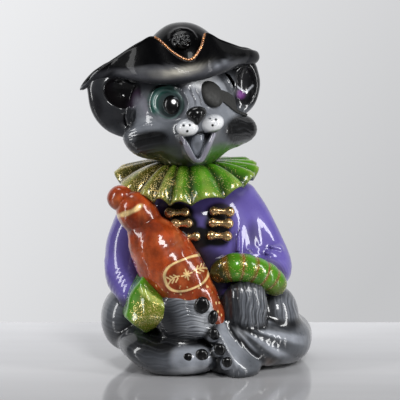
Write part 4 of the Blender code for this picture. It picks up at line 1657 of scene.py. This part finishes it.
def eye_clay(p):
    return ball(to_head(p), EYE + [0.0, 0.8, -0.4], EYE_HALF, (-12, 0, -18))


def eye_paint(p):
    h = to_head(p)
    x, _, z = h.T
    paint = coat(p, BLACK)
    dot = np.hypot(x - EYE[0] - 1.2, z - EYE[2] - 1.6)
    spray(paint, fade(dot, 1.4, 2.1), (250, 250, 250))
    # painted highlight: a pale crescent over the upper side of the pupil
    highlight_crescent = np.abs(np.hypot(x - EYE[0] - 2, z - EYE[2]) - 4.6) + 3 * soft(-x + EYE[0], -3, 1)
    spray(paint, 0.5 * fade(highlight_crescent, 0.3, 1.0) * soft(z, EYE[2] + 1, EYE[2] + 4), (120, 126, 130))
    rim = np.hypot((x - EYE[0]) / EYE_HALF[0], (z - EYE[2] + 0.4) / EYE_HALF[2])
    spray(paint, 0.8 * soft(rim, 0.93, 1.0), (52, 70, 70))
    return paint


PATCH = np.array([17.8, -38.0, 18.0])


def patch_clay(p):
    return ball(to_head(p), PATCH + [0, 2.2, 0], (10.3, 4.8, 11.6), (-18, 0, 22))


STRAP = ((24, 17.0, 4.0), (30, 14.0, 5.0), (36, 10.0, 5.6), (42, 5.0, 5.6), (47.5, 0.5, 4.2))


def strap_clay(p):
    """A band laid over the skull, from the patch towards the back of the head."""
    h = to_head(p)
    line = [(x, z, 0, half) for x, z, half in STRAP]
    face = skull_clay(h)
    band = limb(np.stack([h[:, 0], h[:, 2], np.zeros(len(h))], -1), line)
    f = meet(meet(band, face - 1.3, 0.8), -face - 2.0, 0.8)
    return np.maximum(f, h[:, 1] + 4)


def build_head():
    for name in HEAD_FORM:
        cell = 0.7 * FINE if name == "lower_jaw" else FINE
        sculpt(name, head_member(name), head_paint, HEAD_GLAZE, cell)
    sculpt("right_muzzle", puff_clay(-1), puff_paint, WHITE_GLAZE, 0.65 * FINE)
    sculpt("left_muzzle", puff_clay(1), puff_paint, WHITE_GLAZE, 0.65 * FINE)
    sculpt("nose", nose_clay, plain(BLACK), BLACK_GLAZE, 0.7 * FINE)
    sculpt("right_eye", eye_clay, eye_paint, BLACK_GLAZE, 0.65 * FINE)
    sculpt("eye_patch", patch_clay, plain(BLACK), PATCH_PAINT, FINE)
    sculpt("patch_strap", strap_clay, plain(BLACK), PATCH_PAINT, 0.7 * FINE)


# ---- Claws ----

CLAWS = {  # shift from the middle of the node's box, radii, and roll in degrees
    "right_hand_claw_1": ((0.4, -0.5, 0.2), (5.9, 3.6, 7.0), 18),
    "right_hand_claw_2": ((0.2, -0.5, -0.6), (3.9, 3.2, 5.8), 12),
    "left_foot_claw_1": ((0.6, -0.6, -0.8), (4.2, 3.0, 4.9), -24),
    "left_foot_claw_2": ((0.4, -0.4, -1.4), (4.7, 3.2, 5.0), -20),
    "left_foot_claw_3": ((0.6, 0.2, -2.0), (4.3, 3.0, 4.2), -16),
    "right_foot_claw_1": ((0.8, -0.2, -1.0), (4.6, 3.2, 4.7), 0),
    "right_foot_claw_2": ((0.4, -0.6, -0.6), (5.2, 3.4, 5.1), 14),
}


def claw_clay(name):
    shift, radii, roll = CLAWS[name]
    middle, seed = centre(name, *shift), 90 + int(radii[0] * 10)
    return lambda p: ball(p, middle, radii, (0, roll, 0)) + 0.18 * waves(p, 3.5, seed)


def build_claws():
    for name in CLAWS:
        sculpt(name, claw_clay(name), plain(BLACK), BLACK_GLAZE, 0.65 * FINE, margin=6)


# ---- Hat ----

CROWN = ((9, 3, 43), (33.5, 38, 38.8))
CROWN_FOOT = 40
CROWN_CREASE = ((-4, 68), (-2, 72), (2, 74.3), (7, 75), (12, 73.2), (15, 70), (16, 65))
BRIM_MIDDLE_Y = 3.0
BRIM_FOOT_Z = 31.0
HAT_EDGE = (  # angle from the front, radius and height of the brim's edge
    (-180, 62, 46),
    (-158, 59, 53),
    (-137, 57, 62),
    (-115, 66, 56),
    (-103, 74, 48),
    (-93, 77, 43.5),
    (-82, 63, 54.5),
    (-63, 52.5, 62.5),
    (-41, 48, 68.7),
    (-26, 46.5, 70.3),
    (-9, 48, 54.0),
    (4, 49, 47.2),
    (17, 49, 55.5),
    (28, 47, 66.4),
    (45, 50, 59.5),
    (66, 57.5, 52.5),
    (80, 64, 50.5),
    (92, 71, 48.0),
    (103, 69, 50),
    (118, 63, 55),
    (137, 57, 60),
    (158, 59, 52),
    (180, 62, 46),
)


def hat_edge(angle):
    """Radius and height of the brim's edge at an angle from the front."""
    table = np.array(HAT_EDGE, float)
    angle = (angle + 180) % 360 - 180
    k = min(int(np.searchsorted(table[:, 0], angle, side="right")) - 1, len(table) - 2)
    before = table[k - 1] if k else table[-2] - [360, 0, 0]
    after = table[k + 2] if k + 2 < len(table) else table[1] + [360, 0, 0]
    b, c = table[k], table[k + 1]
    width = c[0] - b[0]
    t = (angle - b[0]) / width
    slope_b = (c[1:] - before[1:]) / (c[0] - before[0]) * width
    slope_c = (after[1:] - b[1:]) / (after[0] - b[0]) * width
    rise = 2 * t**3 - 3 * t**2 + 1
    return rise * b[1:] + (1 - rise) * c[1:] + (t**3 - 2 * t**2 + t) * slope_b + (t**3 - t**2) * slope_c


def brim_foot(sine):
    """Height where the brim turns up from the head: higher at the sides, most of all on the cat's right."""
    return BRIM_FOOT_Z + sine**2 * (11 - 4.5 * sine)


def brim_section(angle):
    """Closed section of the turned-up brim: under, up its bulging outside, over its lip, down inside."""
    radius, height = hat_edge(angle)
    a = math.radians(angle)
    foot = brim_foot(math.sin(a))
    roll = max(50.5 + 3.5 * (1 + math.cos(a)) / 2, radius - 8)
    tall = height - foot
    full = min(max(tall, 0) / 15, 1)
    spread = radius - roll
    lobe = 7.0 * hump(angle - 84, 17)
    tip = 3.0 * hump(angle + 88, 12)
    line = (
        (24, foot + 1),
        (40, foot - 0.5),
        (roll - 4.0, foot - 1.4 * full),
        (roll + 0.9 * lobe, foot + 2.0 * full - 0.3 * lobe - 0.5 * tip),
        (roll + 0.15 * spread + full + 1.2 * lobe, foot + 0.18 * tall + 2.6 * full - 0.4 * lobe - 0.7 * tip),
        (roll + 0.5 * spread + 1.9 * full + lobe, foot + 0.5 * tall + 0.5 * full - 0.2 * lobe - tip),
        (roll + 0.85 * spread + 0.8 * full + 0.6 * lobe, foot + 0.82 * tall - tip),
        (radius + 0.4, height - 1.9),
        (radius + 0.1, height - 0.4),
        (radius - 1.3, height + 0.5),
        (radius - 2.9, height - 0.2),
        (radius - 3.8, height - 1.8),
        (min(radius - 8, 43), max(foot + 0.55 * tall, foot + 8)),
        (34, max(foot + 0.42 * tall, foot + 8)),
        (24, foot + 9),
    )
    fine = smooth_path([(r, z, 0) for r, z in line], 3)
    return [(r * math.sin(a), BRIM_MIDDLE_Y - r * math.cos(a), z) for r, z, _ in fine]


def hat_paint(p):
    """Black, with painted light on the brim's rolled lower edge: a lit grey band along its foot, a pale
    painted highlight at the front, and painted shade right at the foot.
    """
    h = to_head(p)
    x, y, z = h.T
    paint = coat(p, (5, 5, 6))
    around = np.degrees(np.arctan2(x, -(y - BRIM_MIDDLE_Y)))
    up = z - brim_foot(np.sin(np.radians(around)))
    out = np.hypot(x, y - BRIM_MIDDLE_Y)
    front = fade(np.abs(around + 8), 50, 100)
    top = np.interp(around, (-90, -56, -40, -15, 1, 28, 50), (6, 9, 12.5, 14, 10.5, 9, 6))
    highlight_streaks = 0.5 + 0.5 * waves(h * [0.16, 0.3, 1.0], 1.5, 95)
    # painted light: a lit grey band on the brim's rolled lower edge, along its foot at the front
    band = fade(up - top, -2.5, 1.5) * soft(out, 36, 44) * front
    spray(paint, 0.95 * band, (66, 67, 72))
    # painted highlight: a pale sweep across the front of the roll, broken into streaks
    glow = hump(up - 8.2 - 0.05 * around, 3.0) * hump(around + 8, 17)
    spray(paint, 1.1 * glow * (0.5 + 0.5 * highlight_streaks), (176, 172, 160))
    # fainter painted highlights on the roll, towards the cat's right and towards its left
    faint = hump(up - top + 3, 2.2) * hump(around + 45, 26)
    spray(paint, 0.4 * faint * highlight_streaks, (126, 126, 126))
    right = hump(up - 7.0, 2.8) * hump(around - 32, 12)
    spray(paint, 0.45 * right * highlight_streaks, PALE_GREY)
    # painted shade right at the foot of the band, where the brim meets the head
    spray(paint, 0.8 * fade(up, 0.5, 4.0) * band, (38, 39, 42))
    spray(paint, 0.5 * soft(out, 66, 74) * fade(up, -2, 2), (70, 72, 76))
    return paint


def crown_clay(p):
    h = to_head(p)
    spans = zip(CROWN_CREASE, CROWN_CREASE[1:])
    d = np.minimum.reduce([line_distance(h[:, (0, 2)], start, end) for start, end in spans])
    f = ball(h, *CROWN) - 1.1 * hump(d, 1.1) * soft(-h[:, 1], 8, 16)
    return meet(f, CROWN_FOOT - h[:, 2], 2) + 0.10 * waves(h, 11, 96)


EMBLEM_MIDDLE = np.array([3.4, -29.5, 64.5])
EMBLEM_LEAN = -42
EMBLEM_SIZE = 0.84


def emblem_clay(p):
    """A rosette: a knob in a ring of petals, as a stand-in for any badge."""
    q = (to_head(p) - EMBLEM_MIDDLE) @ turned_axes((EMBLEM_LEAN, 0, 0)) / EMBLEM_SIZE
    f = ball(q, (0, 2.0, 0), (9.3, 4.0, 9.8))
    f = melt(f, ball(q, (0, -1.6, 0), (3.2, 2.6, 3.2)), 1.0)
    for k in range(7):
        a = 2 * math.pi * k / 7 + 0.3
        f = melt(f, ball(q, (6.4 * math.cos(a), -0.8, 6.6 * math.sin(a)), (2.5, 2.1, 2.5)), 0.8)
    return f * EMBLEM_SIZE


TRIM_ANGLES = np.arange(-25, 28.1, 3.0)
TRIM_RADIUS, TRIM_INSET = 1.05, 0.1


def trim_clay(p):
    """A thin gold cord along the notch, with a slight twist."""
    line = []
    for angle in TRIM_ANGLES:
        radius, height = hat_edge(angle) + [-TRIM_INSET, TRIM_INSET]
        a = math.radians(angle)
        line.append((radius * math.sin(a), BRIM_MIDDLE_Y - radius * math.cos(a), height, TRIM_RADIUS))
    return limb(to_head(p), line, lambda length: 0.05 * np.sin(2.9 * length), 2)


def build_hat():
    step = 1.0
    sections = [brim_section(a) for a in np.arange(-180, 180, step)]
    points, faces = lofted(sections)
    brim = build_object("hat_brim_glazed", from_head(points), faces, hat_paint, HAT_GLAZE)
    place(brim, "hat_brim")
    sculpt("hat_crown", crown_clay, hat_paint, HAT_GLAZE, CELL)
    sculpt("hat_emblem", emblem_clay, plain(BLACK), BLACK_GLAZE, 0.65 * FINE)
    sculpt("hat_trim", trim_clay, plain(BLACK), COPPER, 0.65 * FINE)


# ---- Bung ----

FLANGE = (  # radius, and height above the bung's lowest point
    *((0.0, 3.6), (6.0, 3.6), (7.2, 2.6), (7.8, 0.4), (8.6, 0), (17.6, 0)),
    *((18.8, 0.6), (18.9, 1.6), (18.2, 2.1), (14.6, 2.2), (14.0, 3.0)),
)
PLUG = (  # radius, and depth below the bung's highest point
    *((13.9, 4.2), (14.15, 3.2), (13.9, 2.2), (13.2, 0.6)),
    *((11.8, 0), (3.0, 0.3), (0.0, 0.3)),
)


def bung_section(angle):
    low, high = box("bung")
    line = [(r, low[2] + z) for r, z in FLANGE] + [(r, high[2] - z) for r, z in PLUG]
    a = math.radians(angle)
    middle = (low + high) / 2
    return [(middle[0] + r * math.cos(a), middle[1] + r * math.sin(a), z) for r, z in line]


def build_bung():
    points, faces = lofted([bung_section(a) for a in range(0, 360, 5)])
    step = faces % (len(FLANGE) + len(PLUG))
    along_axis = (step == 0).any(1) & (step == step.max()).any(1)
    obj = build_object("bung_moulded", points, faces[~along_axis], plain(BLACK), RUBBER)
    weld(obj)
    place(obj, "bung", "bung")


def weld(obj):
    mesh = bmesh.new()
    mesh.from_mesh(obj.data)
    bmesh.ops.remove_doubles(mesh, verts=mesh.verts, dist=0.00001)
    bmesh.ops.recalc_face_normals(mesh, faces=mesh.faces)
    mesh.to_mesh(obj.data)
    mesh.free()


# ---- Stage, lights and camera ----

CAMERA_DISTANCE, CAMERA_TILT = 1.5, math.radians(7)
MM_PER_PIXEL, IMAGE_WIDTH, SENSOR_WIDTH = 0.82, 400, 36
TARGET = Vector(((HOME[0] - 4.1) * MM, HOME[1] * MM, 0.1324))  # the middle of the picture
LIGHT_AIM_Z = 0.13
TABLE_EDGE = HOME[1] * MM + 0.16
LIGHTS = (  # name, place, width and height in metres, and watts
    ("key", (0.35, -1.15, 1.05), (0.34, 0.50), 13),
    ("left_strip", (-1.05, -0.35, 0.55), (0.20, 0.9), 7),
    ("right_strip", (1.05, -0.45, 0.50), (0.18, 0.9), 9),
    ("top", (-0.2, 0.25, 1.35), (0.6, 0.3), 4),
)


def show_front_only(n, surface):
    """Lets a sheet be seen through from behind, so that it never hides the figurine."""
    behind = n.add("ShaderNodeNewGeometry").outputs["Backfacing"]
    clear = n.add("ShaderNodeBsdfTransparent").outputs[0]
    one_sided = n.add("ShaderNodeMixShader")
    for socket, value in enumerate((behind, surface, clear)):
        n.tree.links.new(value, one_sided.inputs[socket])
    n.tree.links.new(one_sided.outputs[0], n.tree.nodes["Material Output"].inputs["Surface"])


def table_material():
    """Pale polished stone with faint long streaks."""
    n = Nodes("table_top")
    streaks = n.noise(14, 5.0, (0.12, 1.0, 1.0))
    cloud = n.noise(5, 2.0, (0.5, 1, 1))
    tone = n.mix(streaks, (0.24, 0.24, 0.25, 1), (0.40, 0.40, 0.41, 1))
    veined = n.mix(n.maths("MULTIPLY", cloud, 0.35), tone, (0.50, 0.50, 0.51, 1))
    # darker towards the front and brighter towards the back: a painted falloff of the light
    away = n.add("ShaderNodeSeparateXYZ", Vector=n.position()).outputs[1]
    n.shade(
        Base_Color=n.scaled(veined, n.ramp(away, -0.26, 0.30, 0.42, 2.5)),
        Roughness=n.ramp(streaks, 0.3, 0.7, 0.05, 0.11),
        Specular_IOR_Level=0.6,
    )
    show_front_only(n, n.shader.outputs[0])
    return n.material


def backdrop_material():
    """Glowing paper, its brightness painted as if lit from the upper left, so that it falls off smoothly to
    the lower right.
    """
    n = Nodes("backdrop_paper")
    x, _, z = n.add("ShaderNodeSeparateXYZ", Vector=n.position()).outputs
    slant = n.maths("SUBTRACT", x, n.maths("MULTIPLY", z, 0.8))
    falloff = n.ramp(slant, -0.55, 0.25, 0.90, 0.56)
    tint = n.add("ShaderNodeCombineColor")
    for channel, share_of_light in enumerate((0.985, 0.992, 1.01)):
        n.set(tint, channel, n.maths("MULTIPLY", falloff, share_of_light))
    glow = n.add("ShaderNodeEmission", Color=tint.outputs[0], Strength=1.0)
    show_front_only(n, glow.outputs[0])
    return n.material


def flat_sheet(name, corner_points, material):
    mesh = bpy.data.meshes.new(name)
    mesh.from_pydata([tuple(c) for c in corner_points], [], [(0, 1, 2, 3)])
    obj = bpy.data.objects.new(name, mesh)
    bpy.context.scene.collection.objects.link(obj)
    mesh.materials.append(material)
    obj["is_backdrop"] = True


def build_stage():
    half, front, low, top = 1.6, -2.4, -0.6, 1.6
    rear, wall = TABLE_EDGE, TABLE_EDGE + 0.5
    table = ((-half, front, 0), (half, front, 0), (half, rear, 0), (-half, rear, 0))
    paper = ((-half, wall, low), (half, wall, low), (half, wall, top), (-half, wall, top))
    flat_sheet("table", table, table_material())
    flat_sheet("backdrop", paper, backdrop_material())


def softbox(name, place_at, aim, size, power):
    light = bpy.data.lights.new(name, "AREA")
    light.shape = "RECTANGLE"
    light.size, light.size_y = size
    light.energy = power
    obj = bpy.data.objects.new(name, light)
    obj.location = place_at
    obj.rotation_euler = (Vector(aim) - Vector(place_at)).to_track_quat("-Z", "Y").to_euler()
    bpy.context.scene.collection.objects.link(obj)


def build_lights():
    aim = (TARGET.x, TARGET.y, LIGHT_AIM_Z)
    for name, place_at, size, power in LIGHTS:
        softbox(name, place_at, aim, size, power)
    world = bpy.data.worlds.new("studio")
    world.use_nodes = True
    background = world.node_tree.nodes["Background"]
    background.inputs["Color"].default_value = (0.92, 0.95, 1.0, 1)
    background.inputs["Strength"].default_value = 0.10
    bpy.context.scene.world = world
    bpy.context.scene.view_settings.view_transform = "Standard"


def build_camera():
    data = bpy.data.cameras.new("camera")
    data.sensor_width = SENSOR_WIDTH
    data.lens = SENSOR_WIDTH * (CAMERA_DISTANCE / (MM_PER_PIXEL * MM)) / IMAGE_WIDTH
    camera = bpy.data.objects.new("camera", data)
    back = Vector((0, -math.cos(CAMERA_TILT), math.sin(CAMERA_TILT))) * CAMERA_DISTANCE
    camera.location = TARGET + back
    camera.rotation_euler = (math.radians(90) - CAMERA_TILT, 0, 0)
    bpy.context.scene.collection.objects.link(camera)
    bpy.context.scene.camera = camera


def write_size():
    def plain(bounds):
        return [list(map(float, corner)) for corner in bounds]

    {"cad": plain(cad_bounds), "visual": plain(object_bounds())}


build_lower_body()
build_jacket()
build_bottle()
build_cuffs()
build_ruff()
build_clasps()
build_head()
build_claws()
build_hat()
build_bung()
build_stage()
build_lights()
build_camera()
write_size()
